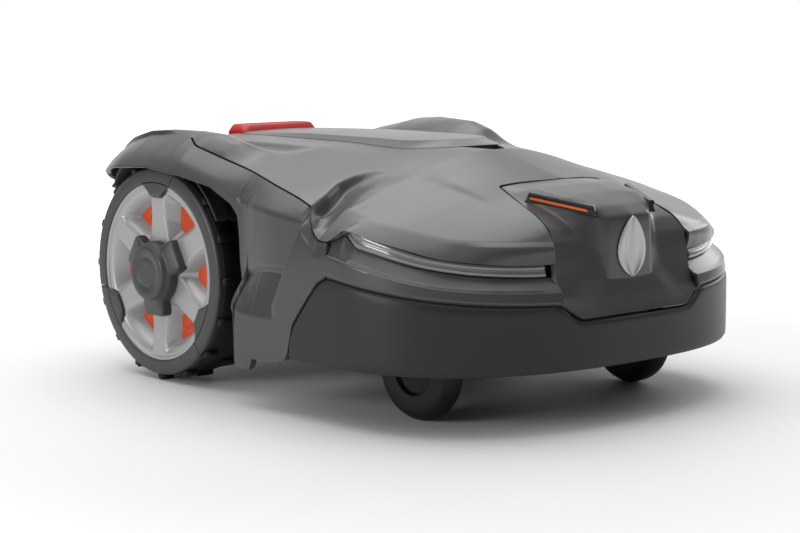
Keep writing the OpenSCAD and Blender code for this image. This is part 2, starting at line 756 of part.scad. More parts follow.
// Wheel parts are drawn with the outer face at z = 0 and the wheel's inside at positive z
module tyre(side) {
    carcass_r = wheel_r - lug_h;
    color(black) on_wheel(side) {
        difference() {
            translate([0, 0, ring_t + 0.5]) cylinder(h = tyre_w - ring_t - 0.5, r = carcass_r, $fn = 96);
            translate([0, 0, 1]) cylinder(h = tyre_w, r = carcass_r - carcass_t, $fn = 96);
        }
        for (k = [0 : lug_count - 1]) rotate(360 / lug_count * (k + 0.25)) {
            translate([carcass_r - 1, -lug_w / 2, ring_t + 1.5]) cube([lug_h + 0.93, lug_w, lug_l]);
            rotate(180 / lug_count) translate([carcass_r - 1, -lug_w / 2, tyre_w - lug_l - 3])
                cube([lug_h + 0.93, lug_w, lug_l]);
        }
    }
}

module wheel_drum(side) {
    color(dark_grey) on_wheel(side) difference() {
        union() {
            difference() {
                translate([0, 0, 7]) cylinder(h = tyre_w - 8, r = wheel_r - lug_h - carcass_t, $fn = 96);
                translate([0, 0, 6]) cylinder(h = tyre_w - 6, r = wheel_r - lug_h - 14, $fn = 96);
            }
            translate([0, 0, 30]) cylinder(h = 4, r = wheel_r - lug_h - 13, $fn = 96);
            translate([0, 0, 20]) cylinder(h = 24, r = 16);
        }
        translate([0, 0, 0]) cylinder(h = tyre_w, r = axle_r);
    }
    color(silver) on_wheel(side) translate([0, 0, 12]) cylinder(h = 74, r = axle_r);
}

// The dark face ring has three segments, each with a tab that reaches inwards
module wheel_ring(side) {
    color(dark_grey) on_wheel(side) for (k = [0 : 2]) rotate(120 * k) difference() {
        linear_extrude(ring_t) intersection() {
            union() {
                difference() {
                    circle(r = ring_r, $fn = 96);
                    circle(r = disc_edge_r + 0.4, $fn = 96);
                }
                polygon([[disc_edge_r + 3, -21], [disc_edge_r - 12, -7], [disc_edge_r - 12, 7],
                         [disc_edge_r + 3, 21]]);
            }
            polygon([[0, 0], [200 * cos(59.7), -200 * sin(59.7)], [400, 0],
                     [200 * cos(59.7), 200 * sin(59.7)]]);
        }
    }
}

module wheel_disc(side) {
    color(silver) on_wheel(side) difference() {
        translate([0, 0, 1.5]) cylinder(h = 5, r = disc_edge_r, $fn = 96);
        for (k = [0 : spoke_count - 1]) rotate(60 * k + 30) linear_extrude(30)
            polygon([[30, -3], [30, 3], [68, 26], [76, 12], [78, 0], [76, -12], [68, -26]]);
        for (k = [0 : 2]) rotate(120 * k) linear_extrude(30)
            polygon([[disc_edge_r + 3, -22], [disc_edge_r - 12.5, -7.6], [disc_edge_r - 12.5, 7.6],
                     [disc_edge_r + 3, 22]]);
        cylinder(h = 30, r = 9);
    }
}

module wheel_liner(side) {
    color(orange) on_wheel(side) difference() {
        translate([0, 0, 17]) cylinder(h = 2.5, r = 62);
        cylinder(h = 30, r = axle_r + 0.1);
    }
}

module hub_cap(side) {
    color(dark_grey) on_wheel(side) {
        translate([0, 0, -9]) linear_extrude(10.5) {
            circle(r = 30);
            for (k = [0 : 2]) rotate(120 * k + 60) translate([31, 0]) circle(r = 13);
        }
        translate([0, 0, -12]) cylinder(h = 3, r = 27);
        translate([0, 0, 1.5]) cylinder(h = 10.5, r = 8);
    }
}

module tyre_left() { tyre(1); }
module tyre_right() { tyre(-1); }
module wheel_drum_left() { wheel_drum(1); }
module wheel_drum_right() { wheel_drum(-1); }
module wheel_ring_left() { wheel_ring(1); }
module wheel_ring_right() { wheel_ring(-1); }
module wheel_disc_left() { wheel_disc(1); }
module wheel_disc_right() { wheel_disc(-1); }
module wheel_liner_left() { wheel_liner(1); }
module wheel_liner_right() { wheel_liner(-1); }
module hub_cap_left() { hub_cap(1); }
module hub_cap_right() { hub_cap(-1); }

// ---------------------------------------------------------------- casters

module caster_fork(side) {
    arm_x = caster_x - caster_w / 2 - 7;
    color(black) mirror([side < 0 ? 1 : 0, 0, 0]) {
        translate([caster_x, swivel_y, 95]) cylinder(h = 6, r = 17);
        translate([caster_x, swivel_y, 101]) cylinder(h = 30, r = stem_r);
        translate([arm_x, swivel_y - 9, 95]) cube([caster_x - arm_x, 34, 6]);
        difference() {
            union() {
                translate([arm_x, caster_axle_y - 10, caster_r]) cube([6, 20, 95 - caster_r]);
                x_rod(arm_x, arm_x + 6, caster_axle_y, caster_r, 10);
            }
            x_rod(arm_x - 1, arm_x + 8, caster_axle_y, caster_r, caster_pin_r);
        }
    }
}

module caster_axle(side) {
    color(silver) mirror([side < 0 ? 1 : 0, 0, 0]) {
        x_rod(caster_x - caster_w / 2 - 7, caster_x + caster_w / 2 - 5, caster_axle_y, caster_r, caster_pin_r);
        x_rod(caster_x + caster_w / 2 - 5, caster_x + caster_w / 2 - 2, caster_axle_y, caster_r, 7);
    }
}

module caster_wheel(side) {
    color(black) mirror([side < 0 ? 1 : 0, 0, 0])
        translate([caster_x, caster_axle_y, caster_r]) rotate([0, 90, 0]) difference() {
            rotate_extrude($fn = 96) polygon([[caster_pin_r + run_fit, -caster_w / 2],
                [caster_r - 4, -caster_w / 2], [caster_r - 1, -caster_w / 2 + 3], [caster_r, -6],
                [caster_r, 6], [caster_r - 1, caster_w / 2 - 3], [caster_r - 4, caster_w / 2],
                [caster_pin_r + run_fit, caster_w / 2]]);
            translate([0, 0, caster_w / 2 - 5.3]) cylinder(h = 10, r = 0.47 * caster_r);
        }
}

module caster_fork_left() { caster_fork(1); }
module caster_fork_right() { caster_fork(-1); }
module caster_axle_left() { caster_axle(1); }
module caster_axle_right() { caster_axle(-1); }
module caster_wheel_left() { caster_wheel(1); }
module caster_wheel_right() { caster_wheel(-1); }

// ---------------------------------------------------------------- output

top_cover();
body_shell();
bumper();
nose_cover();
headlight_lenses();
eye_sensors();
eye_reflectors();
nose_emblem();
cover_frame();
lid();
lid_pin();
stop_button();
float_carrier();
float_boots();
chassis_tray();
chassis_deck();
deck_gasket();
battery_pack();
battery_hatch();
main_board();
drive_motor_left();
drive_motor_right();
control_panel();
display_window();
charge_contacts();
chassis_screws();
height_motor();
guide_rods();
power_button();
start_button();
jog_knob();
motor_carrier();
cutting_motor();
height_screw();
blade_disc();
blade_screws();
blade_1();
blade_2();
blade_3();
skid_plate();
tyre_left();
wheel_drum_left();
wheel_ring_left();
wheel_disc_left();
wheel_liner_left();
hub_cap_left();
tyre_right();
wheel_drum_right();
wheel_ring_right();
wheel_disc_right();
wheel_liner_right();
hub_cap_right();
caster_fork_left();
caster_axle_left();
caster_wheel_left();
caster_fork_right();
caster_axle_right();
caster_wheel_right();
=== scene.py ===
# Robotic lawn mower: detailed shell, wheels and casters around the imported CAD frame.
# Lengths in this file are millimetres unless a name says otherwise; a mesh is scaled to
# metres when it is made. +Z is up, the front of the mower is -Y, the middle plane is X = 0.
import json
import math

import bmesh
import bpy
import numpy as np
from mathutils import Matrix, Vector

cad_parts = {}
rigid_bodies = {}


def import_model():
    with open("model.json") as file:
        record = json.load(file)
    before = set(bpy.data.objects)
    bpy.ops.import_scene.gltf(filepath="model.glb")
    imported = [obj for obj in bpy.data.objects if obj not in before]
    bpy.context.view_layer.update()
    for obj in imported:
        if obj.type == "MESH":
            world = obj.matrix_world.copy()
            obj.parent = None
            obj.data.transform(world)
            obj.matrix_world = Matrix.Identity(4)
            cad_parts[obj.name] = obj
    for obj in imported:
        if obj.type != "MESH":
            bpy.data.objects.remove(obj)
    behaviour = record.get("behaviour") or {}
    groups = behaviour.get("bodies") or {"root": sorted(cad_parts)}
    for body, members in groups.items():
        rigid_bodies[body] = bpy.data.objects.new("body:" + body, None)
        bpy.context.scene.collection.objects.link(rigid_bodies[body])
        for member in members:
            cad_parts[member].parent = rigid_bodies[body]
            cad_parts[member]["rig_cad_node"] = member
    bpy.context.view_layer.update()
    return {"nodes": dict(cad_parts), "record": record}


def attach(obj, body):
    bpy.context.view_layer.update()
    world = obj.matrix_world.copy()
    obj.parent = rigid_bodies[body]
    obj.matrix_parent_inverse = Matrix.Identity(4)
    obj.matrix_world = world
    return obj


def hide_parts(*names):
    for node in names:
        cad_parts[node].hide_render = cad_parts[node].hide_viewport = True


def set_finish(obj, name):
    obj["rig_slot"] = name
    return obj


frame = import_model()

MM = 0.001
WALL = 2.4
# Gap between the bumper and the panels above it
SEAM = 1.6
# A point inside the shell that its panels look away from
SHELL_CORE = (0, 20, 110)

# ---------------------------------------------------------------- small helpers


def smooth(t):
    t = np.clip(t, 0.0, 1.0)
    return t * t * (3.0 - 2.0 * t)


def table(pairs):
    """A function that runs straight between (place, value) pairs."""
    keys = np.array([p[0] for p in pairs], float)
    values = np.array([p[1] for p in pairs], float)
    return lambda v: np.interp(v, keys, values)


def catmull_rom(a, b, c, d, t):
    """Place at t from 0 to 1 on the smooth curve from b to c."""
    return 0.5 * (2 * b + (c - a) * t + (2 * a - 5 * b + 4 * c - d) * t ** 2
                  + (3 * b - a - 3 * c + d) * t ** 3)


def spline(points, count):
    """count places along a smooth curve through the points, evenly by length."""
    p = np.array(points, float)
    ends = np.vstack([2 * p[0] - p[1], p, 2 * p[-1] - p[-2]])
    fine = []
    for i in range(len(p) - 1):
        a, b, c, d = ends[i:i + 4]
        t = np.linspace(0, 1, 24, endpoint=False)[:, None]
        fine.append(catmull_rom(a, b, c, d, t))
    fine = np.vstack(fine + [p[-1:]])
    return even(fine, count)


def even(line, count):
    """The polyline resampled at count places of even spacing."""
    step = np.linalg.norm(np.diff(line, axis=0), axis=1)
    length = np.concatenate([[0], np.cumsum(step)])
    at = np.linspace(0, length[-1], count)
    return np.stack([np.interp(at, length, line[:, k]) for k in range(3)], 1)


def mesh_object(name, verts, faces):
    mesh = bpy.data.meshes.new(name)
    mesh.from_pydata([tuple(v) for v in np.asarray(verts, float) * MM], [], [tuple(f) for f in faces])
    mesh.validate()
    obj = bpy.data.objects.new(name, mesh)
    bpy.context.scene.collection.objects.link(obj)
    for p in mesh.polygons:
        p.use_smooth = True
    return obj


def grid_faces(rows, cols, start=0, flip=False, close=False):
    faces = []
    last = cols if close else cols - 1
    for i in range(rows - 1):
        for j in range(last):
            k = (j + 1) % cols
            f = [start + i * cols + j, start + (i + 1) * cols + j,
                 start + (i + 1) * cols + k, start + i * cols + k]
            faces.append(f[::-1] if flip else f)
    return faces


def face_away(bm, core):
    """Turns every connected sheet so that its faces look away from the core."""
    bmesh.ops.recalc_face_normals(bm, faces=bm.faces[:])
    bm.faces.index_update()
    seen = set()
    for seed in bm.faces:
        if seed.index in seen:
            continue
        sheet, queue = [], [seed]
        seen.add(seed.index)
        while queue:
            face = queue.pop()
            sheet.append(face)
            for edge in face.edges:
                for other in edge.link_faces:
                    if other.index not in seen:
                        seen.add(other.index)
                        queue.append(other)
        facing = sum(f.calc_area() * f.normal.dot(f.calc_center_median() - core) for f in sheet)
        if facing < 0:
            bmesh.ops.reverse_faces(bm, faces=sheet)


class Patch:
    """Collects grids of points and turns them into one mesh."""

    def __init__(self):
        self.verts = []
        self.faces = []

    def grid(self, g, flip=False, close=False, keep=None):
        g = np.asarray(g, float)
        rows, cols = g.shape[:2]
        start = len(self.verts)
        self.verts.extend(g.reshape(-1, 3).tolist())
        faces = grid_faces(rows, cols, start, flip, close)
        if keep is not None:
            faces = [f for f, k in zip(faces, np.asarray(keep).reshape(-1)) if k]
        self.faces.extend(faces)
        return self

    def both(self, g, flip=False, keep=None):
        """The grid and its mirror image in the middle plane."""
        self.grid(g, flip, keep=keep)
        m = np.asarray(g, float).copy()
        m[..., 0] *= -1
        return self.grid(m, not flip, keep=keep)

    def solid(self, verts, faces):
        start = len(self.verts)
        self.verts.extend([list(v) for v in verts])
        self.faces.extend([[start + i for i in f] for f in faces])
        return self

    def build(self, name, weld=0.02, thickness=0.0, bevel=0.0, angle=38, core=None):
        """One object; lengths in millimetres. The wall goes inwards from the points of the grids."""
        obj = mesh_object(name, self.verts, self.faces)
        bm = bmesh.new()
        bm.from_mesh(obj.data)
        bmesh.ops.remove_doubles(bm, verts=bm.verts, dist=weld * MM)
        bmesh.ops.delete(bm, geom=[v for v in bm.verts if not v.link_faces], context="VERTS")
        if core is not None:
            face_away(bm, Vector(core) * MM)
        bm.to_mesh(obj.data)
        bm.free()
        for p in obj.data.polygons:
            p.use_smooth = True
        if thickness:
            m = obj.modifiers.new("Wall", "SOLIDIFY")
            m.thickness = thickness * MM
            m.offset = -1.0
        if bevel:
            m = obj.modifiers.new("Edge", "BEVEL")
            m.width = bevel * MM
            m.segments = 2
            m.limit_method = "ANGLE"
            m.angle_limit = math.radians(angle)
            m.harden_normals = True
        return obj


# ---------------------------------------------------------------- design curves

prow_y = -123.0
split_y = 128.0
end_y = 287.6
wheel_r = 108.0
wheel_face_x = 205.0
axle_y = 160.0
caster_r = 46.4
caster_x = 140.0
caster_axle_y = -156.0

spine_z = table([(-275, 188), (-240, 200), (-191, 211), (-110, 234), (-60, 238), (212, 238),
                 (240, 231), (270, 214), (290, 190)])
crest_z = table([(-60, 208), (20, 217), (52, 226), (75, 238), (100, 245), (127, 246.5),
                 (160, 247), (194, 244.5), (230, 236), (251, 228), (266, 221), (281, 212), (290, 204)])
# Lower end of the leaning upper flank: the wheel arch in the rear, a crease in front of it
lean_z = table([(-130, 174), (-77, 178), (-24, 184), (12, 187), (41, 194), (60, 200),
                (102, 208), (160, 213), (215, 210), (250, 203), (290, 190)])
skirt_z = table([(-69, 53), (-54, 48), (-18, 47), (-14, 37), (5, 37), (8, 41), (9.5, 84), (14, 98),
                 (18, 111), (22, 127), (23.5, 157), (26, 174), (35, 184), (46, 190), (62, 199), (102, 207),
                 (160, 212), (215, 209), (250, 202), (266, 198), (281, 191), (290, 185)])


def prow(z):
    return 167 - 0.25 * np.maximum(z - 110, 0)


def flank(z):
    return 225 - 30 * (np.maximum(z - 110, 0) / 138) ** 3


def rim(c, z, inset=0.0):
    """Point of the outline: c from 0 to 1 runs round the prow, above 1 back along a flank."""
    c, z = np.broadcast_arrays(np.asarray(c, float), np.asarray(z, float))
    a = np.radians(90 * np.clip(c, 0, 1))
    x = (flank(z) - inset) * np.maximum(np.sin(a), 0) ** 0.8
    y = prow_y - (prow(z) - inset) * np.maximum(np.cos(a), 0) ** 0.8
    back = c > 1
    x = np.where(back, flank(z) - inset, x)
    y = np.where(back, prow_y + 100 * (c - 1), y)
    return np.stack([x, y, z], -1)


seam = spline([(181, 131, 244), (187, 118, 238.5), (190.5, 108, 234.8), (189, 90, 230), (186.5, 70, 224.5),
               (185.5, 48, 219.3), (187, 25, 214.5), (190.5, 0, 208.8), (195, -24, 203.8),
               (198.5, -43, 200.2), (202, -62, 196.3), (206, -82, 191.2)], 120)
seam_x = table(sorted((p[1], p[0]) for p in seam))
seam_low = table(sorted((p[1], p[2]) for p in seam))
crease = spline([(193.5, -117.5, 190.6), (194.5, -130, 187.6), (193, -147, 184.2), (186, -178, 178.4),
                 (170, -211, 171.3), (153, -231, 168.6), (128, -249, 167.5), (106, -258.5, 166.8),
                 (87, -264.5, 166)], 140)
crease_x = table(sorted((p[1], p[0]) for p in crease))
crease_h = table(sorted((p[1], p[2]) for p in crease))
lip = spline([(219.7, -108.6, 163.6), (221, -121, 163.6), (221, -133, 168.5), (219, -144, 174.6),
              (214, -167, 169.2), (205, -188, 164), (187, -217, 155.5), (169, -235, 151.5),
              (139, -253.5, 148), (112, -263, 146.6), (87, -268.5, 146)], 140)
# Line where the flat shoulder ends and the air intake drops away
intake = table([(95, -135), (100, -118), (104, -100), (113, -77), (122, -69), (131, -63.5), (142, -61),
                (156, -63), (180, -75), (206, -84), (230, -86)])
intake_depth = table([(112, 0), (125, 3), (131, 6), (140, 9), (156, 12), (180, 15), (206, 21)])
deck_edge_x = 100.0
deck_edge_z = table([(-140, 211), (-118, 215), (-100, 217.5), (-83, 220), (-26, 226), (33, 232),
                     (94, 233), (140, 233)])


def seam_top(y):
    """Height of the seam, carried on along the fender behind the notch."""
    behind = smooth((y - 126) / 10)
    return seam_low(y) * (1 - behind) + (crest_z(y) - 3.0) * behind


def roof_raw(x, y):
    """Height of the top surface at one side of the middle plane, before its edges are softened."""
    spine = spine_z(y)
    # hood in front of the shoulders
    xc = np.where(y < -117.5, crease_x(y), 193.5 + 0.16 * (y + 117.5))
    zc = np.where(y < -117.5, crease_h(y), 190.6 + 0.12 * (y + 117.5))
    hood = spine - (spine - zc) * np.minimum(x / np.maximum(xc, 1), 1.15) ** 1.3
    # deck beside the lid and the flat shoulder outside it
    edge = deck_edge_z(y)
    sx, sz = seam_x(y), seam_top(y)
    deck = spine - (spine - edge) * (np.minimum(x, deck_edge_x) / deck_edge_x) ** 2
    t = (x - deck_edge_x) / np.maximum(sx - deck_edge_x, 1)
    shoulder = np.where(x < deck_edge_x, deck, edge + (sz - edge) * t)
    # rear fender: a rounded tube behind a valley
    rise = smooth((y - 30) / 45)
    floor = edge - 5 * smooth((x - deck_edge_x) / 9)
    crest_x = 168.0
    crown = crest_z(y)
    inner = floor + (crown - floor) * smooth((x - 122) / (crest_x - 122)) ** 0.8
    outer = crown - (crown - sz) * np.clip((x - crest_x) / np.maximum(sx - crest_x, 1), 0, 1.3) ** 2
    tube = np.where(x < deck_edge_x, deck, np.where(x < crest_x, inner, outer))
    side = shoulder + (tube - shoulder) * rise
    # blend of hood and side
    line = intake(x)
    reach = np.interp(x, [95, 112, 122, 130], [125, 40, 8, 3])
    early = np.interp(x, [95, 112, 122], [55, 12, 0])
    base = side + (hood - side) * smooth((line + early - y) / reach)
    drop = intake_depth(x) * smooth((line - y) / 3) * (1 - smooth((line - y - 6) / 44))
    return base - drop


CELL = 1.5
grid_x = np.arange(-30, 246, CELL)
grid_y = np.arange(-300, 312, CELL)
field = roof_raw(np.abs(grid_x)[:, None] + 0 * grid_y[None, :], grid_y[None, :] + 0 * grid_x[:, None])
kernel = np.exp(-0.5 * (np.arange(-5, 6) * CELL / 1.6) ** 2)
kernel /= kernel.sum()
for axis in (0, 1):
    padded = np.pad(field, [(5, 5) if k == axis else (0, 0) for k in (0, 1)], mode="edge")
    field = sum(w * np.take(padded, np.arange(field.shape[axis]) + k, axis) for k, w in enumerate(kernel))


def roof(x, y):
    """Softened height of the top surface."""
    u = np.clip((np.abs(x) - grid_x[0]) / CELL, 0, len(grid_x) - 1.001)
    v = np.clip((y - grid_y[0]) / CELL, 0, len(grid_y) - 1.001)
    i, j = u.astype(int), v.astype(int)
    a, b = u - i, v - j
    return (field[i, j] * (1 - a) * (1 - b) + field[i + 1, j] * a * (1 - b)
            + field[i, j + 1] * (1 - a) * b + field[i + 1, j + 1] * a * b)


# ---------------------------------------------------------------- top cover

lid_half = 61.0
lid_rear_y = 207.0
lid_bow_y = -22.0
lid_bow = 66.0
GAP = 1.4


def lid_edge(grow, count):
    """Near half of the lid outline, from its rear corner round the bow to the middle."""
    h = lid_half + grow
    side = [(h, y) for y in np.linspace(split_y, lid_bow_y, count // 2, endpoint=False)]
    bow = [(h * math.cos(a), lid_bow_y - (lid_bow + grow) * math.sin(a))
           for a in np.linspace(0, math.pi / 2, count // 2)]
    return np.array(side + bow)


def nearest(line, place):
    """Index of the point of the line that lies nearest to a place in plan."""
    return int(np.argmin(np.hypot(line[:, 0] - place[0], line[:, 1] - place[1])))


# The cover's front sheet has this many lines between its two edges, and this many points on each
COVER_LINES = 380
COVER_POINTS = 110
# Plan of the intake mouth from the flank seam to the brow
GATE = [(206, -82, 0), (210, -87, 0), (214, -92, 0), (217.5, -98, 0), (219.3, -104, 0), (219.5, -108.5, 0),
        (206.5, -113, 0), (193.5, -117.5, 0)]
# Places on the two edges that face each other, from the rear corner to the nose
COUPLES = [((62.4, 128), (181, 131)), ((62.4, -22), (199, -43)), ((46, -68), (206, -82)),
           ((4, -108.5), (219.5, -108.5)), ((0, -116), (193.5, -117.5)), ((0, -190), (194, -132)),
           ((63, -176.5), (190, -163)), ((66.5, -178), (189, -167)), ((66.5, -178), (87, -264.5))]
# Openings of the rear deck: the lid's rear edge, then the button's half width and rear edge
LID_HOLE_END = 212.5
BUTTON_HALF = 51.5
BUTTON_END = 250.5
DECK_HALF = 139.0


def cover_inner_edge():
    """Lid opening, finger mouth, middle line, then the nose seam."""
    mouth = []
    for x, y in lid_edge(GAP, 120):
        dip = 22 * (1 - smooth((x - 6) / 20))
        mouth.append((x, y - dip if y < lid_bow_y - 40 else y))
    middle = [(0, y) for y in np.linspace(-112, -190, 24)]
    nose = [(6, -191), (20, -187), (40, -181), (54, -178), (63, -176.5), (66.5, -178)]
    inner = np.array(mouth + middle + nose)
    return even(np.column_stack([inner, np.zeros(len(inner))]), COVER_LINES)


def cover_outer_edge():
    """Flank seam, intake mouth, then the brow crease."""
    outer = np.vstack([seam, even(np.array(GATE, float), 50), crease])
    outer[:, 2] = 0
    return even(outer, COVER_LINES)


def add_front_sheet(patch):
    """Hood, shoulders and intake, on lines drawn in plan from the inner to the outer edge."""
    inner, outer = cover_inner_edge(), cover_outer_edge()
    inner_knots = [nearest(inner, a) for a, b in COUPLES]
    outer_knots = [nearest(outer, b) for a, b in COUPLES]
    every = np.arange(COVER_LINES)
    idx = np.interp(every, outer_knots, inner_knots)
    inner = np.stack([np.interp(idx, every, inner[:, k]) for k in range(3)], 1)
    t = np.linspace(0, 1, COVER_POINTS)[None, :, None]
    g = inner[:, None, :] * (1 - t) + outer[:, None, :] * t
    # the lines that start on the nose's upper edge bow backwards, so that they leave it steeply
    bow_ends = outer_knots[4:7] + [outer_knots[7] + 25]
    bow = np.interp(every, bow_ends, [0, 1, 1, 0])
    g += (bow[:, None, None] * 160 * t * (1 - t) ** 3) * np.array([-0.25, 1.0, 0.0])
    g[..., 2] = roof(g[..., 0], g[..., 1])
    edge_z = boundary_height(outer)
    edge_z = np.convolve(np.pad(edge_z, 1, mode="edge"), [0.25, 0.5, 0.25], "valid")
    g[..., 2] += (edge_z - g[:, -1, 2])[:, None] * t[..., 0] ** 14
    # both edges are turned down into the shell, but for the middle line and the low front edge
    rim_in = g[:, :1] - np.array([0, 0, 7.0])
    plain = (g[:, 0, 0] < 0.5) | (g[:, 0, 0] > 66)
    rim_in[plain] = g[plain, :1]
    rim_out = g[:, -1:] - np.array([3.0, 0, 5.0])
    rim_out[edge_z < 190.4] = g[:, -1:][edge_z < 190.4]
    sheet = np.concatenate([rim_in, g, rim_out], 1)
    patch.both(np.concatenate([sheet, sheet[-1:] + np.array([0.6, 1.0, -3.0])]))


def add_rear_deck(patch):
    """Deck beside and behind the lid, with turned-down edges round its openings."""
    lid_x = lid_half + GAP
    xs = np.array(sorted({0.0, BUTTON_HALF, lid_x, DECK_HALF}
                         | set(np.round(np.linspace(0, DECK_HALF, 60), 2))))
    ys = np.array(sorted({split_y, LID_HOLE_END, BUTTON_END, end_y}
                         | set(np.round(np.linspace(split_y, end_y, 80), 2))))
    gx, gy = np.meshgrid(xs, ys, indexing="ij")
    mx = (xs[1:] + xs[:-1])[:, None] / 2
    my = (ys[1:] + ys[:-1])[None, :] / 2
    hole = ((mx < lid_x) & (my < LID_HOLE_END)) | ((mx < BUTTON_HALF) & (my < BUTTON_END))
    patch.both(np.stack([gx, gy, roof(gx, gy)], -1), keep=~hole)
    for line in ([(lid_x, y) for y in ys if y <= LID_HOLE_END],
                 [(x, LID_HOLE_END) for x in xs if BUTTON_HALF <= x <= lid_x],
                 [(BUTTON_HALF, y) for y in ys if LID_HOLE_END <= y <= BUTTON_END],
                 [(x, BUTTON_END) for x in xs if x <= BUTTON_HALF]):
        upper = np.array([(x, y, 0) for x, y in line], float)
        upper[:, 2] = roof(upper[:, 0], upper[:, 1])
        patch.both(np.stack([upper, upper - np.array([0, 0, 8.0])]))


def boundary_height(line):
    """Height of the cover's outer edge at each place of its plan line."""
    out = []
    for x, y, _ in line:
        if y > -83:
            out.append(seam_top(y))
        elif y > -117.45 and x > 192.5:
            if y < -108.45:
                out.append(float(np.interp(x, [193.5, 206.5, 219.5], [190.6, 177.0, 163.6])))
            else:
                out.append(float(np.interp(-y, [82, 87, 92, 98, 104, 108.5],
                                           [191.2, 185, 178.5, 171.8, 167, 163.6])))
        else:
            out.append(float(crease_h(y)))
    return np.array(out)


def outwards(line):
    """Level unit vectors that point away from the middle of the prow."""
    out = line - np.array([0, prow_y, 0])
    out[:, 2] = 0
    return out / np.maximum(np.linalg.norm(out, axis=1)[:, None], 1)


# Rows of the brow face: share of the way down, push outwards, and push where the nose chamfers it
BROW_ROWS = ((0, 0, 0), (0.03, 0.5, 0.4), (0.07, 0.9, 1.3), (0.14, 1.3, 2.9), (0.21, 1.5, 4.4),
             (0.24, 1.5, 4.8), (0.30, 1.5, 4.9), (0.5, 1.4, 4.2), (0.65, 1.2, 3.2), (0.8, 0.8, 1.9),
             (0.92, 0.4, 0.8), (1.0, 0, 0))
BROW_RETURN = 9


def add_brow(patch):
    """Face from the crease down to the lip, with a rounded shoulder at its top."""
    near_nose = smooth((158 - crease[:, 0]) / 22)[:, None]
    face = []
    for w, push, chamfer in BROW_ROWS:
        row = crease * (1 - w) + lip * w
        face.append(row + outwards(row) * (push + (chamfer - push) * near_nose))
    face.append(lip - outwards(lip) * BROW_RETURN + np.array([0, 0, 0.6]))
    patch.both(np.array(face).transpose(1, 0, 2))


cover_patch = Patch()
add_front_sheet(cover_patch)
add_rear_deck(cover_patch)
add_brow(cover_patch)
top = cover_patch.build("Top_Cover", weld=0.1, thickness=WALL, bevel=0.5, core=SHELL_CORE)

# ---------------------------------------------------------------- lid


def make_lid():
    """Hinged hatch: a flat plateau with a ramp down to its edge."""
    patch = Patch()
    edge = lid_edge(0, 120)
    edge = np.vstack([[(lid_half, y) for y in np.linspace(lid_rear_y, split_y, 30, endpoint=False)], edge])
    centre = np.column_stack([np.zeros(len(edge)), np.maximum(edge[:, 1], lid_bow_y - 0.35 * lid_bow)])
    f = np.concatenate([np.linspace(0, 0.6, 16), np.linspace(0.6, 1, 44)[1:]])[None, :, None]
    plan = centre[:, None, :] * (1 - f) + edge[:, None, :] * f
    lx, ly = plan[..., 0], plan[..., 1]
    edge_h = roof(edge[:, 0] + GAP, edge[:, 1])[:, None] + 0.3
    facet = 8.0 + 16.0 * smooth((-edge[:, 1] - 30) / 50)[:, None]
    inward = np.hypot(lx - edge[:, None, 0], ly - edge[:, None, 1])
    plateau = np.interp(ly, [-88, -60, 0, 110, 207], [240.6, 241.2, 242.0, 241.6, 238.8])
    plateau = plateau - 1.6 * (lx / lid_half) ** 2
    ramp_up = np.clip(inward / facet, 0, 1)
    ramp_up = ramp_up * (1 - 0.35 * smooth((ramp_up - 0.8) / 0.2)) + 0.35 * smooth((ramp_up - 0.8) / 0.2)
    lz = edge_h + (np.maximum(plateau, edge_h) - edge_h) * ramp_up
    lid_g = np.stack([lx, ly, lz], -1)
    patch.both(np.concatenate([lid_g, lid_g[:, -1:] - np.array([0.3, 0, 5.0])], 1))
    return patch.build("Lid", weld=0.05, thickness=WALL, bevel=0.5, angle=45, core=(0, 60, 150))


lid_obj = make_lid()

# ---------------------------------------------------------------- stop button

# Outlines of the button from its foot to the dished top: x, x, y, y, height
BUTTON_RINGS = [(-50, 50, 215.7, 247.8, 226), (-50, 50, 215.7, 247.8, 236),
                (-49.4, 49.4, 216.3, 247.2, 237.4),
                (-46.5, 46.5, 219.5, 244.5, 243), (-45, 45, 221, 243, 243.8), (-44, 44, 222, 242, 243.8),
                (-43.4, 43.4, 222.6, 241.4, 242.9), (-30, 30, 228, 236, 242.6)]


def rounded_ring(x0, x1, y0, y1, z, r, per=8):
    pts = []
    corners = ((x1 - r, y1 - r, 0), (x0 + r, y1 - r, 90), (x0 + r, y0 + r, 180), (x1 - r, y0 + r, 270))
    for cx, cy, a0 in corners:
        for k in range(per):
            a = math.radians(a0 + 90 * k / (per - 1))
            pts.append((cx + r * math.cos(a), cy + r * math.sin(a), z))
    return pts


def make_button():
    patch = Patch()
    loops = [rounded_ring(*q, r=min(6, (q[3] - q[2]) / 2 - 0.5)) for q in BUTTON_RINGS]
    around = len(loops[0])
    patch.grid(np.array(loops), close=True, flip=True)
    patch.faces.append([len(patch.verts) - around + k for k in range(around)])
    patch.faces.append(list(range(around))[::-1])
    return patch.build("Stop_Button", bevel=0.4)


button_obj = make_button()

# ---------------------------------------------------------------- bumper and body shell


def bumper_top(x, y):
    side = np.interp(y, [-112, -98, -84, -77, -71], [126, 110, 93, 84, 62])
    corner = np.interp(y, [-123, -112], [131.5, 126])
    front = np.where(x < 74, 97 + 0 * x, np.where(x < 92, 97 + (x - 74) * 0.75, 111 + (y + 290) * 0.127))
    return np.where(y > -112, side, np.where(y > -123, corner, front))


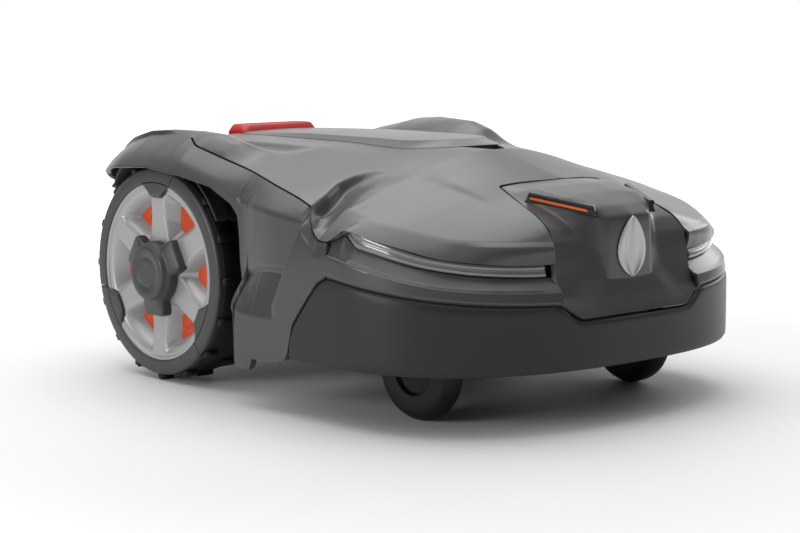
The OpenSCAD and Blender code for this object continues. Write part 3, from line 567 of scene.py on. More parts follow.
def make_bumper():
    patch = Patch()
    c = np.concatenate([np.linspace(1.50, 1.0, 50, endpoint=False), np.linspace(1.0, 0, 150)])
    line = rim(c, 110.0)
    top_z = bumper_top(line[:, 0], line[:, 1])
    soft = np.convolve(np.pad(top_z, 3, mode="edge"), np.ones(7) / 7, "valid")
    rows = [rim(c, 53.0 + 0 * c, 5.0), rim(c, 53.4 + 0 * c, 2.0), rim(c, 56 + 0 * c, 0.4)]
    for s in (0.08, 0.2, 0.35, 0.5, 0.65, 0.8, 0.9):
        rows.append(rim(c, 56 + (soft - 60) * s, 0.0))
    for drop, inset in ((4.6, 0.0), (2.6, 0.5), (1.0, 1.8), (0.6, 3.2), (3.5, 5.0)):
        rows.append(rim(c, soft - drop, inset))
    patch.both(np.array(rows).transpose(1, 0, 2), flip=True)
    return patch.build("Bumper", thickness=WALL, bevel=0.4, core=SHELL_CORE)


bumper_obj = make_bumper()

# Height of the shelf below the headlight and of the lens's lower edge along the prow
shelf_h = table([(-290, 123), (-278, 124), (-253, 127), (-232, 130), (-203, 136), (-165, 145), (-124, 152)])
lens_h = table([(-290, 133), (-270, 135), (-245, 139), (-216, 145), (-178, 154), (-153, 158.5),
                (-140, 169), (-130, 166)])


def add_front_band(body):
    """Band under the headlights, from the nose to the front corner."""
    c = np.linspace(0.205, 1.0, 150)
    line = rim(c, 110.0)
    low = bumper_top(line[:, 0], line[:, 1]) + SEAM
    shelf = shelf_h(line[:, 1])
    lens_low = lens_h(line[:, 1])
    closing = smooth((line[:, 1] + 158) / 22)
    rows = [rim(c, low - 3, 4.0), rim(c, low, 0.3)]
    for s in (0.06, 0.2, 0.4, 0.6, 0.8, 0.93):
        rows.append(rim(c, low + (shelf - low) * s, 0.0))
    rows += [rim(c, shelf, 0.8), rim(c, shelf + 0.6, 2.6)]
    for s in (0.2, 0.45, 0.7, 1.0):
        rows.append(rim(c, shelf + 0.6 + (lens_low - shelf) * s, 2.6 + (9.5 - 4 * closing) * s))
    body.both(np.array(rows).transpose(1, 0, 2), flip=True)


# Flank from the front corner to the notch: leaning upper part, flat side, wheel-arch foot
rib_at = table([(60, -53), (92, -52), (99, -50), (118, -57), (141, -69), (161, -80), (178, -89), (192, -96)])
panel_line = spline([(-90, 217.5, 0), (-40, 216.5, 0), (-9, 212.0, 0), (22, 206.0, 0), (60, 211.0, 0),
                     (100, 216.0, 0), (130, 216.4, 0)], 90)
panel_x = table([(q[0], q[1]) for q in panel_line])
arc_z = table([(-51, 134), (-36, 134), (-18, 132), (-4, 128), (10, 123), (20, 119)])
foot_z = table([(-27, 87), (-2, 89), (4, 92), (22, 96)])
# Inner edge of the fender, where it starts behind the notch, and where its tail rounds off
FENDER_X = 140.6
FENDER_Y = 126
TAIL_START = 205
TAIL_LENGTH = 86.0


def flank_x(y, z):
    """Half width of the flank behind the prow: panel behind a rib, scoop and wheel-arch foot below."""
    full = flank(z)
    behind = smooth((y - rib_at(z)) / 6)
    deep = full - panel_x(y)
    top, foot = arc_z(y), foot_z(y)
    u = np.clip((top - z) / (top - foot), 0, 1)
    depth = (deep + 4.5 * smooth(u / 0.12) * (y < 60)) * (1 - u)
    return full - depth * behind


def tail_in(y):
    """Share of the fender's half width left where the tail rounds off."""
    return np.sqrt(np.clip(1 - (np.maximum(y - TAIL_START, 0) / TAIL_LENGTH) ** 1.6, 0.01, 1))


def flank_point(y, z):
    """Point of the flank: flat up to the lean line, then leaning in to the seam."""
    lean = lean_z(y)
    sx, sz = seam_x(y), seam_top(y)
    base = flank_x(y, np.minimum(z, lean))
    t = np.clip((z - lean) / np.maximum(sz - lean, 1), 0, 1.5)
    swell = 0.6 + 3.6 * smooth((y - 10) / 70)
    x = np.where(z > lean, base + (sx - base) * t + swell * np.sin(np.pi * np.clip(t, 0, 1)), base)
    x = FENDER_X + (x - FENDER_X) * np.where(y > TAIL_START, tail_in(y), 1)
    return np.stack([x, y, z], -1)


# Places along the flank, close together at the intake
flank_y = np.concatenate([np.linspace(-122.9, -86, 30, endpoint=False),
                          np.linspace(-86, FENDER_Y, 190, endpoint=False),
                          np.linspace(FENDER_Y, end_y, 110)])
FLANK_ROWS = 96
# Edge of the intake mouth on the flank: place, height and half width
MOUTH_Y = [-123, -108.5, -104, -98, -92, -87, -84]
MOUTH_Z = [162.4, 162.2, 165.7, 170.5, 177.2, 183.7, 188.0]
MOUTH_X = [222.5, 220.9, 220.6, 219.0, 215.4, 211.3, 207.4]


def flank_grid():
    """Points of the flank, row by row from its lower edge to the seam."""
    y = flank_y
    high = np.where(y < -84, np.interp(y, MOUTH_Y, MOUTH_Z), seam_top(y) - 1.3)
    low = np.where(y < -71, bumper_top(222 + 0 * y, y) + SEAM, skirt_z(y))
    low = np.where((y >= -71) & (y < -66), np.interp(y, [-71, -66], [60, 53]), low)
    edge_x = np.interp(y, MOUTH_Y, MOUTH_X)
    rows = []
    for k in range(FLANK_ROWS + 1):
        z = low + (high - low) * k / FLANK_ROWS
        row = flank_point(y, z)
        # towards the intake the upper edge turns inwards
        near_edge = np.clip((z - high + 15) / 15, 0, 1) ** 1.6 * (1 - smooth((y + 84) / 6))
        row[:, 0] += (edge_x - row[:, 0]) * near_edge
        rows.append(row)
    g = np.array(rows)
    for _ in range(2):
        inner = g[1:-1, 1:-1, 0]
        g[1:-1, 1:-1, 0] = (inner * 2 + g[:-2, 1:-1, 0] + g[2:, 1:-1, 0]
                            + g[1:-1, :-2, 0] + g[1:-1, 2:, 0]) / 6
    return g


def add_flank(body, g):
    """The flank with its lower edge turned in and its upper edge tucked under the top cover."""
    before_notch = flank_y < 125
    turned = g[0].copy()
    turned[:, 0] -= 7
    lip_row = g[0].copy()
    lip_row[:, 0] -= 1.2
    lip_row[:, 2] -= 1.0
    tucked = g[-1].copy()
    tucked[:, 0] -= 3.5 * before_notch
    tucked[:, 2] -= 3.0 * before_notch
    body.both(np.concatenate([[turned], [lip_row], g, [tucked]]).transpose(1, 0, 2), flip=False)


def add_fender(body, g):
    """Rear fender: from the end of the flank grid over the crest to the deck."""
    fender = []
    for j, y in enumerate(flank_y):
        if y < FENDER_Y:
            continue
        start = g[-1, j]
        k = float(tail_in(y)) if y > TAIL_START else 1.0
        crest_at = FENDER_X + (168 + 14 * float(smooth((y - 120) / 60)) - FENDER_X) * k
        crown = float(crest_z(y))
        inner_z = min(float(roof(np.array([DECK_HALF]), np.array([y]))[0]), crown - 1.5)
        row = [start]
        for s in np.linspace(0, 1, 10)[1:]:
            up = math.sin(s * math.pi / 2)
            row.append((start[0] + (crest_at - start[0]) * s, y, start[2] + (crown - start[2]) * up))
        for s in np.linspace(0, 1, 12)[1:]:
            row.append((crest_at + (FENDER_X - crest_at) * s, y, crown + (inner_z - crown) * s ** 1.8))
        fender.append(row)
    body.both(np.array(fender), flip=False)


TAIL_Y = 286.8
TAIL_FOOT = 70


def add_tail(body):
    """Ribbed tail wall between the fenders, and a plate that closes the end of each fender."""
    xs = np.linspace(0, 134, 40)
    top_edge = roof(xs, TAIL_Y + 0 * xs) - 0.8
    tail = []
    for s in np.linspace(0, 1, 30):
        z = TAIL_FOOT + (top_edge - TAIL_FOOT) * s
        rib = 2.2 * smooth((np.abs(xs % 22 - 11) - 6) / 2) * (1 if 0.2 < s < 0.8 else 0)
        tail.append(np.stack([xs, TAIL_Y - 8 * (1 - s) ** 2 - rib, z + 0 * xs], -1))
    body.both(np.array(tail), flip=True)
    xs = np.linspace(134, 157.5, 14)
    low = 186.5
    corner = float(top_edge[-1])
    top_edge = np.interp(xs, [134, 139, 151, 157.5], [corner, corner + 0.5, 205.4, 201.0])
    plate = [np.stack([xs, TAIL_Y + 0 * xs, low + (top_edge - low) * s], -1) for s in np.linspace(0, 1, 8)]
    body.both(np.array(plate), flip=True)


def make_body():
    body = Patch()
    add_front_band(body)
    flank_points = flank_grid()
    add_flank(body, flank_points)
    add_fender(body, flank_points)
    add_tail(body)
    return body.build("Body_Panels", weld=0.35, thickness=WALL, bevel=0.5, core=SHELL_CORE)


def make_arch_liner():
    """Dark liner over each drive wheel, from the front of the arch round to the fender's tail."""
    arch_r = 116.0
    line = []
    for a in np.radians(np.linspace(150, 42, 46)):
        line.append((axle_y + arch_r * math.cos(a), wheel_r + arch_r * math.sin(a)))
    line += [(258, 184.5), (268, 184.5), (277, 185.5), (283, 187)]
    across = 25
    groove = 1.2 * smooth((np.abs(np.linspace(0, 4, across) % 1 - 0.5) - 0.3) / 0.1)
    grid = []
    for y, z in line:
        reach = FENDER_X + (208 - FENDER_X) * float(tail_in(y)) * 0.96
        grid.append(np.stack([np.linspace(141, reach, across), np.full(across, y), z + groove], -1))
    patch = Patch().both(np.array(grid), flip=False)
    return patch.build("Arch_Liner", thickness=1.4, core=(0, axle_y, wheel_r))


body_obj = make_body()
arch_obj = make_arch_liner()

# ---------------------------------------------------------------- headlights

# Rows of the lens from its lower to its upper edge: share of the height and depth
LENS_ROWS = ((0, 16.5), (0.0, 14.2), (0.08, 13.0), (0.25, 12.7), (0.45, 12.6), (0.52, 12.7), (0.58, 13.4),
             (0.64, 12.9), (0.80, 12.8), (0.92, 13.0), (1.0, 14.4), (1.0, 17))
HOUSING_ROWS = ((-0.15, 16), (-0.15, 22), (1.15, 22))


def make_headlights():
    """The long lens under the brow on each side, and the dark housing behind it."""
    c = np.linspace(0.235, 0.99, 130)
    line = rim(c, 140.0)
    bottom = lens_h(line[:, 1]) + 0.5
    lip_z = table(sorted((p[1], p[2]) for p in lip))(line[:, 1])
    lens_top = np.maximum(lip_z + 0.6, bottom + 1.0)
    made = []
    for name, rows, height, forward, thickness in (
            ("Headlight_Lenses", LENS_ROWS, lens_top - bottom, 3.2, 1.6),
            ("Headlight_Housing", HOUSING_ROWS, lip_z - bottom, 0.0, 1.2)):
        g = np.array([rim(c, bottom + height * s, depth - forward) for s, depth in rows])
        patch = Patch().both(g.transpose(1, 0, 2), flip=True)
        made.append(patch.build(name, thickness=thickness, core=SHELL_CORE))
    return made


lens_obj, mouth_obj = make_headlights()

# ---------------------------------------------------------------- nose column


# Control points of the nose from top to foot; each row runs from the middle plane outwards
NOSE_ROWS = [
    [(0, -192.5, 210.6), (20, -189, 210.4), (42, -183, 209), (56, -180.5, 206.6), (66, -178.5, 204.5)],
    [(0, -215, 207), (22, -213, 207.3), (50, -207, 207.2), (63, -200, 202), (70, -197, 199)],
    [(0, -240, 201), (24, -240, 201.6), (45, -246, 199.6), (64, -222, 194), (75, -216, 191.5)],
    [(0, -266, 192), (26, -264.5, 192.2), (37.5, -266.3, 191), (58, -243, 184), (80, -238, 181)],
    [(0, -277.5, 184), (27, -275, 183.5), (35.6, -269, 182.5), (54, -255, 176), (84, -256, 171)],
    [(0, -279, 168), (28, -276.5, 168), (34.5, -271, 167), (50, -262.5, 164), (87, -265.4, 163.5)],
    [(0, -279.3, 150), (28, -277, 150), (33.5, -272.5, 150), (48, -267.5, 150), (87.5, -268, 150)],
    [(0, -279.3, 136), (27, -277.4, 136), (32.5, -274.5, 136), (52, -270.5, 136), (88, -270, 136)],
    [(0, -278.5, 128), (26, -277.2, 128.5), (34, -276, 129), (58, -272.5, 128), (88.3, -272, 126)],
    [(0, -281, 116), (25, -280.8, 116), (44, -280, 116), (64, -277, 116), (88.6, -274, 117)],
    [(0, -286, 104), (25, -286, 104), (44, -285.6, 104), (66, -283.4, 105), (89, -277.5, 113.5)],
    [(0, -288, 98.8), (25, -287.8, 98.8), (46, -287.6, 98.8), (70, -285.8, 98.9), (90, -279, 112.3)]]
ROWS_ON_ROOF = 5


def refine(g, times):
    """Subdivision along the first axis that keeps the control points."""
    out = []
    ends = np.concatenate([[2 * g[0] - g[1]], g, [2 * g[-1] - g[-2]]])
    for i in range(len(g) - 1):
        a, b, c, d = ends[i:i + 4]
        for k in range(times):
            t = k / times
            out.append(0.3 * catmull_rom(a, b, c, d, t) + 0.7 * (b * (1 - t) + c * t))
    out.append(g[-1])
    return np.array(out)


def make_nose():
    """The column between the headlights, level with the top surface at its upper edge."""
    points = np.array(NOSE_ROWS, float)
    points[0, :, 2] = roof(points[0, :, 0], points[0, :, 1]) - 0.3
    for j in range(ROWS_ON_ROOF):
        x, y, _ = NOSE_ROWS[j][-1]
        z = float(roof(np.array([x]), np.array([y]))[0])
        points[j, -1] = (x - 1.6, y - (1.2 if j == 0 else 0), z - 0.4)
    g = refine(points, 7)
    g = refine(g.transpose(1, 0, 2), 8).transpose(1, 0, 2)
    g[1:-1, 1:-1] = (g[1:-1, 1:-1] * 4 + g[:-2, 1:-1] + g[2:, 1:-1] + g[1:-1, :-2] + g[1:-1, 2:]) / 8
    side_in = g[:, -1:] + np.array([1.0, 4.0, -4.0])
    patch = Patch().both(np.concatenate([g, side_in], 1))
    return patch.build("Nose_Cover", weld=0.05, thickness=WALL, bevel=0.5, core=SHELL_CORE)


nose_obj = make_nose()

# Sensor eyes: a slanted black bar with a reflector strip, on the upper edge of the nose
eye_a = np.array([37.0, -269.0, 188.8])
eye_b = np.array([65.0, -213.0, 199.8])
along = (eye_b - eye_a) / np.linalg.norm(eye_b - eye_a)
outward = np.cross(along, [0, 0, 1])
outward /= np.linalg.norm(outward)
if outward[0] < 0:
    outward = -outward
upward = np.cross(outward, along)
if upward[2] < 0:
    upward = -upward
eye_length = float(np.linalg.norm(eye_b - eye_a))


def eye_point(s, out, up):
    return eye_a + along * s + outward * out + upward * up


def bar(section, s0, s1, slant0, slant1, steps=10):
    """A bar along the eye with mitred ends; section is a list of (out, up)."""
    rows = []
    for k in range(steps + 1):
        f = k / steps
        ring = []
        for o, u in section:
            start = s0 + slant0 * (u + 4) / 10
            stop = s1 + slant1 * (u + 4) / 10
            ring.append(eye_point(start + (stop - start) * f, o, u))
        rows.append(ring)
    return np.array(rows)


def make_bars(name, section, s0, s1, slant0, slant1, bevel):
    """The closed bar on both sides of the nose."""
    patch = Patch()
    g = bar(section, s0, s1, slant0, slant1)
    n = len(section)
    for side in (1, -1):
        m = g.copy()
        m[..., 0] *= side
        start = len(patch.verts)
        patch.grid(m, close=True, flip=side < 0)
        first = [start + k for k in range(n)]
        last = [len(patch.verts) - n + k for k in range(n)]
        patch.faces.append(first if side > 0 else first[::-1])
        patch.faces.append(last[::-1] if side > 0 else last)
    return patch.build(name, bevel=bevel)


# Sections of the bar: how far it stands out and its height along the slope
EYE_SECTION = [(-2, -5.2), (2.6, -5.2), (3.4, -4.4), (3.4, -3.2), (2.3, -2.6),
               (2.3, 1.0), (3.4, 1.6), (3.4, 3.4), (2.4, 4.6), (-2, 4.6)]
STRIP_SECTION = [(1.5, -2.3), (3.1, -2.3), (3.3, -2.0), (3.3, -0.1), (3.1, 0.2), (1.5, 0.2)]
eyes_obj = make_bars("Eye_Sensors", EYE_SECTION, -2, eye_length + 1, 5.0, -3.0, 0.35)
glow_obj = make_bars("Eye_Reflectors", STRIP_SECTION, 6, eye_length - 3, 2.5, -1.0, 0.2)

# ---------------------------------------------------------------- emblem


LEAF_HALF_HEIGHT = 27.0
LEAF_HALF_WIDTH = 18.0
LEAF_MIDDLE_Z = 156
LEAF_Y = -279.6
# Across the leaf: share of the half width, and how far that stands out
LEAF_PROFILE = ((-1, 0), (-0.97, 1.1), (-0.9, 1.5), (-0.62, 1.5), (-0.56, 0.6), (-0.12, 0.6), (-0.07, 1.5),
                (0.07, 1.5), (0.12, 0.6), (0.56, 0.6), (0.62, 1.5), (0.9, 1.5), (0.97, 1.1), (1, 0))


def make_emblem():
    """A leaf with a raised rim and a raised middle rib."""
    v = np.linspace(-LEAF_HALF_HEIGHT, LEAF_HALF_HEIGHT, 61)
    round_off = np.clip(1 - np.abs(v / LEAF_HALF_HEIGHT) ** 2.0, 0, 1)
    half = LEAF_HALF_WIDTH * round_off ** 0.75 * (1 - 0.22 * v / LEAF_HALF_HEIGHT)
    rows = []
    for u, out in LEAF_PROFILE:
        rows.append(np.stack([u * half, LEAF_Y - out + 2.4 * (u * half / 28) ** 2, LEAF_MIDDLE_Z + v], -1))
    return Patch().grid(np.array(rows)).build("Nose_Emblem", weld=0.01, thickness=1.0)


emblem_obj = make_emblem()

# ---------------------------------------------------------------- wheels


def wheel_point(side, r, theta, depth):
    """Wheel coordinates: theta 0 points to the front, 90 up; depth is measured inwards from the face."""
    a = np.radians(theta)
    r, a, depth = np.broadcast_arrays(np.asarray(r, float), a, np.asarray(depth, float))
    return np.stack([side * (wheel_face_x - depth), axle_y - r * np.cos(a), wheel_r + r * np.sin(a)], -1)


RING_OUT, RING_IN, TAB_IN = 102.0, 87.6, 74.5


def disc_depth(r, theta):
    """Depth of the silver wheel disc: dished spokes between six pockets and a thin raised rim."""
    base = 3.0 + 2.2 * smooth((84 - r) / 60)
    base = base - 1.9 * smooth((r - 83.6) / 1.4)
    depth = base
    for k in range(6):
        a = np.radians(theta - (60 * k))
        p, q = r * np.cos(a), np.abs(r * np.sin(a))
        reach = np.interp(p, [27, 33, 52, 66, 82], [-6, 3.5, 19.5, 28.5, 33.5])
        d = np.minimum(reach - q, np.minimum((82.0 - r), (p - 30) * 0.75))
        depth = depth + 20.0 * smooth(d / 21)
    # recess for the tabs of the face ring
    for k in range(3):
        a = np.radians(theta - (90 + 120 * k))
        p, q = r * np.cos(a), np.abs(r * np.sin(a))
        tab = smooth((p - TAB_IN + 1.2) / 1.0) * smooth((9.3 + (p - TAB_IN) * 1.13 - q) / 1.0 + 0.5)
        depth = depth + 2.2 * tab * (r < 88)
    return depth


def seam_angle(r):
    return 90 - np.interp(r, [TAB_IN, RING_IN, RING_OUT], [6.4, 15.0, 17.0])


def tab_width(r):
    return 2 * np.interp(r, [TAB_IN, RING_IN, RING_OUT], [6.4, 15.0, 17.0])


LUGS = 16
# Tread of the tyre and the deep groove between its two rows of lugs: radius and depth
CARCASS = np.array([(94.5, 6.2), (100.5, 6.2), (102.2, 6.8), (103, 8.2), (103, 22), (102.2, 24), (102.2, 30),
                    (103, 32), (103, 49), (102.2, 51), (100, 51.9), (94.6, 51.9)])
LUG_FACES = [(4, 5, 1, 0), (5, 6, 2, 1), (6, 7, 3, 2), (7, 4, 0, 3), (8, 9, 5, 4),
             (9, 10, 6, 5), (10, 11, 7, 6), (11, 8, 4, 7), (11, 10, 9, 8), (0, 1, 2, 3)]


def wheel_grid(patch, side, r, theta, depth):
    """A closed band round the wheel from columns of radius and depth."""
    g = wheel_point(side, np.asarray(r)[:, None], theta[None, :], depth)
    patch.grid(g, flip=side > 0, close=True)


def wheel_disc(side):
    patch = Patch()
    r = np.concatenate([np.linspace(9, 80, 90), np.linspace(80.5, 87.2, 14)])
    th = np.arange(0, 360, 0.75)
    wheel_grid(patch, side, r, th, disc_depth(r[:, None], th[None, :]))
    wheel_grid(patch, side, [87.2, 87.2], th, np.array([1.3, 9.0])[:, None])
    return patch, 0.02


def wheel_liner(side):
    """Orange liner behind the pockets, with shallow ring grooves."""
    patch = Patch()
    r = [6, 6, 30, 31, 32, 46, 47, 48, 60, 61, 62, 73, 73]
    depth = np.array([19, 17, 17, 17.6, 17, 17, 17.6, 17, 17, 17.6, 17, 17, 19])
    wheel_grid(patch, side, r, np.arange(0, 360, 3.0), depth[:, None])
    return patch, 0.01


def wheel_ring(side):
    """Face ring in three segments, each with a tab that reaches into the disc."""
    patch = Patch()
    flip = side > 0
    r_r = np.array([RING_IN, RING_IN + 0.3, RING_IN + 0.9, 90, 93, 96, 99, RING_OUT - 1.6, RING_OUT - 0.5,
                    RING_OUT, RING_OUT])
    d_r = np.array([2.5, 0.7, 0.15, 0.0, 0.0, 0.15, 0.4, 0.8, 1.6, 2.6, 6.0])
    r_t = np.array([TAB_IN, TAB_IN + 0.3, TAB_IN + 0.9, 78, 82, 86, RING_IN, RING_IN + 0.3, RING_IN + 0.9])
    d_t = np.array([2.5, 0.7, 0.15, 0, 0, 0, 0, 0, 0])
    gap = 0.35
    for k in range(3):
        turn = 120 * k
        f = np.concatenate([[0, 0, 0.002, 0.006], np.linspace(0.012, 0.988, 90), [0.994, 0.998, 1, 1]])
        edge_fall = np.concatenate([[2.5, 0.7, 0.2, 0.0], np.zeros(90), [0.0, 0.2, 0.7, 2.5]])
        start = seam_angle(r_r) + gap
        stop = seam_angle(r_r) + 120 - gap
        th = start[:, None] + (stop - start)[:, None] * f[None, :] + turn
        depth = np.maximum(d_r[:, None], edge_fall[None, :])
        tab_zone = (th - turn) < (seam_angle(r_r) + tab_width(r_r))[:, None]
        depth = np.where(tab_zone & (r_r < 89)[:, None], np.maximum(edge_fall[None, :], 0.0), depth)
        patch.grid(wheel_point(side, r_r[:, None], th, depth), flip=flip)
        # the tab
        f = np.concatenate([[0, 0.02, 0.06], np.linspace(0.1, 0.9, 12), [0.94, 0.98, 1]])
        fall = np.concatenate([[2.5, 0.6, 0.1], np.zeros(12), [0.1, 0.6, 2.5]])
        start = seam_angle(r_t) + gap
        th = start[:, None] + (tab_width(r_t) - gap)[:, None] * f[None, :] + turn
        depth = np.maximum(d_t[:, None], np.where((r_t < RING_IN)[:, None], fall[None, :], 0))
        patch.grid(wheel_point(side, r_t[:, None], th, depth), flip=flip)
    return patch, 0.01


def add_lug(patch, side, angle, outer, inner):
    """One tapered block of the tread between two depths."""
    verts = []
    for r, half, inset in ((101.5, 2.0, 0.0), (106.9, 1.8, 0.6), (107.85, 1.4, 1.6)):
        near, far = outer + inset, inner - inset
        for depth, sign in ((near, -1), (near, 1), (far, 1), (far, -1)):
            verts.append(wheel_point(side, r, angle + sign * half, depth))
    patch.solid(verts, LUG_FACES if side > 0 else [f[::-1] for f in LUG_FACES])


def tyre(side):
    patch = Patch()
    th = np.arange(0, 360, 2.5)
    g = wheel_point(side, CARCASS[:, 0][:, None], th[None, :], CARCASS[:, 1][:, None])
    patch.grid(g, flip=side < 0, close=True)
    for k in range(LUGS):
        add_lug(patch, side, 360 / LUGS * k, 3.4, 19.0)
        add_lug(patch, side, 360 / LUGS * (k + 0.5), 34.0, 51.6)
    return patch, 0.005


def lobe_reach(theta):
    """Radius of the hub cap's three-lobed outline."""
    best = 30.5 + 0 * theta
    for k in range(3):
        a = np.radians(theta - (30 + 120 * k))
        cos, sin = np.cos(a), np.abs(np.sin(a))
        reach = np.minimum(43.0 / np.maximum(cos, 0.05), 16.0 / np.maximum(sin, 0.05))
        best = np.maximum(best, np.where(cos > 0.3, reach, 0))
    return best


# The hub cap's raised round face (radius, depth), then its lobes (share of the reach, depth)
CAP_FACE = ((0.5, -11.0), (11, -11.2), (13.6, -11.2), (14.2, -10.7), (15.0, -10.7),
            (15.6, -11.3), (24.4, -11.8), (26.2, -11.2), (27.2, -10.0), (27.8, -6.6))
CAP_LOBES = ((0.12, -6.0), (0.85, -3.4), (0.96, -2.4), (1.0, -1.0), (1.0, 7.0))
CAP_ROOT = 28.2


def hub_cap(side):
    th = np.arange(0, 360, 1.5)
    reach = np.minimum(lobe_reach(th), 44.5)
    for _ in range(3):
        reach = (np.roll(reach, 1) + 2 * reach + np.roll(reach, -1)) / 4
    rings = [wheel_point(side, r + 0 * th, th, depth) for r, depth in CAP_FACE]
    rings += [wheel_point(side, CAP_ROOT + (reach - CAP_ROOT) * f, th, depth) for f, depth in CAP_LOBES]
    return Patch().grid(np.array(rings), flip=side > 0, close=True), 0.6


# Each piece of a wheel: its name, the CAD node it replaces, its material and its maker
WHEEL_PIECES = (("Wheel_Disc", "wheel_disc", "wheel_silver", wheel_disc),
                ("Wheel_Liner", "wheel_liner", "liner_orange", wheel_liner),
                ("Wheel_Ring", "wheel_ring", "wheel_grey", wheel_ring),
                ("Tyre", "tyre", "tyre_black", tyre),
                ("Hub_Cap", "hub_cap", "wheel_grey", hub_cap))
SIDES = ((-1, "Right"), (1, "Left"))
for side, name in SIDES:
    for piece, node, slot_name, maker in WHEEL_PIECES:
        patch, weld = maker(side)
        obj = patch.build(piece + "_" + name, weld=weld)
        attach(obj, "drive_wheel_" + name.lower())
        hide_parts(node + "_" + name.lower())
        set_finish(obj, slot_name)

# ---------------------------------------------------------------- caster wheels


# Caster profile: hub recess on the outer face, then half of the tread up to its middle
RECESS = [(4.3, 6.9), (5.5, 6.9), (21.0, 7.1), (22.2, 7.6),
          (22.8, 8.8), (23.0, 12.0), (23.8, 12.7), (25, 12.95)]
TREAD = [(36, 12.9), (40.5, 12.4), (42.2, 11.2), (43.4, 9.6), (44.8, 7.2), (45.3, 6.8), (45.2, 6.3),
         (45.9, 5.6), (46.3, 3.2), (46.2, 2.9), (45.6, 2.6), (45.6, 2.2), (46.35, 1.9), (46.4, 0)]
CASTER_PROFILE = np.array(RECESS + TREAD + [(r, -w) for r, w in TREAD[-2::-1]] + [(4.3, -12.9), (4.3, 6.9)])


def make_caster(side, name):
    a = np.radians(np.arange(0, 360, 2.0))
    radius, width = CASTER_PROFILE[:, 0][:, None], CASTER_PROFILE[:, 1][:, None]
    ring = np.stack([side * (caster_x + width) + 0 * a[None, :],
                     caster_axle_y - radius * np.cos(a)[None, :],
                     caster_r + radius * np.sin(a)[None, :]], -1)
    obj = Patch().grid(ring, flip=side < 0, close=True).build("Caster_Wheel_" + name, weld=0.001)
    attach(obj, "caster_wheel_" + name.lower())
    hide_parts("caster_wheel_" + name.lower())
    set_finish(obj, "tyre_black")


for side, name in SIDES:
    make_caster(side, name)

# ---------------------------------------------------------------- riding and replacing

for obj, body_name, nodes, slot_name in (
        (top, "cover", ["top_cover"], "shell_grey"),
        (body_obj, "cover", ["body_shell"], "shell_grey"),
        (bumper_obj, "cover", ["bumper"], "bumper_black"),
        (arch_obj, "cover", [], "chassis_black"),
        (nose_obj, "cover", ["nose_cover"], "shell_grey"),
        (lens_obj, "cover", ["headlight_lenses"], "lens"),
        (mouth_obj, "cover", [], "eye_black"),
        (eyes_obj, "cover", ["eye_sensors"], "eye_black"),
        (glow_obj, "cover", ["eye_reflectors"], "reflector_orange"),
        (emblem_obj, "cover", ["nose_emblem"], "emblem_silver"),
        (lid_obj, "lid", ["lid"], "shell_grey"),
        (button_obj, "stop_button", ["stop_button"], "stop_red")):
    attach(obj, body_name)
    if nodes:
        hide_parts(*nodes)
    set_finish(obj, slot_name)

# ---------------------------------------------------------------- materials


# Size of the slow colour clouds, and how far the colour and the gloss swing with them
CLOUD_SCALE = 9.0
TONE_SPREAD = 0.06
GLOSS_SPREAD = 0.04
# Depth of the grain in metres
GRAIN_DEPTH = 0.0004
# Dust rises to this height in metres
DUST_TOP = 0.10
DUST_COLOUR = (0.16, 0.14, 0.12, 1)


def add_node(tree, kind, **values):
    """A new shader node with its settings."""
    node = tree.nodes.new("ShaderNode" + kind)
    for key, value in values.items():
        setattr(node, key, value)
    return node


def set_inputs(node, values):
    for key, value in values.items():
        node.inputs[key].default_value = value


def add_dust(tree, place, colour_out, amount):
    """Mix dust over the colour near the ground; the mask reads the object's own height."""
    low = add_node(tree, "SeparateXYZ")
    tree.links.new(place.outputs["Object"], low.inputs["Vector"])
    mask = add_node(tree, "MapRange")
    set_inputs(mask, {"From Min": DUST_TOP, "From Max": 0.0, "To Max": amount})
    tree.links.new(low.outputs["Z"], mask.inputs["Value"])
    mix = add_node(tree, "Mix", data_type="RGBA")
    tree.links.new(mask.outputs["Result"], mix.inputs["Factor"])
    tree.links.new(colour_out, mix.inputs["A"])
    mix.inputs["B"].default_value = DUST_COLOUR
    return mix.outputs["Result"]


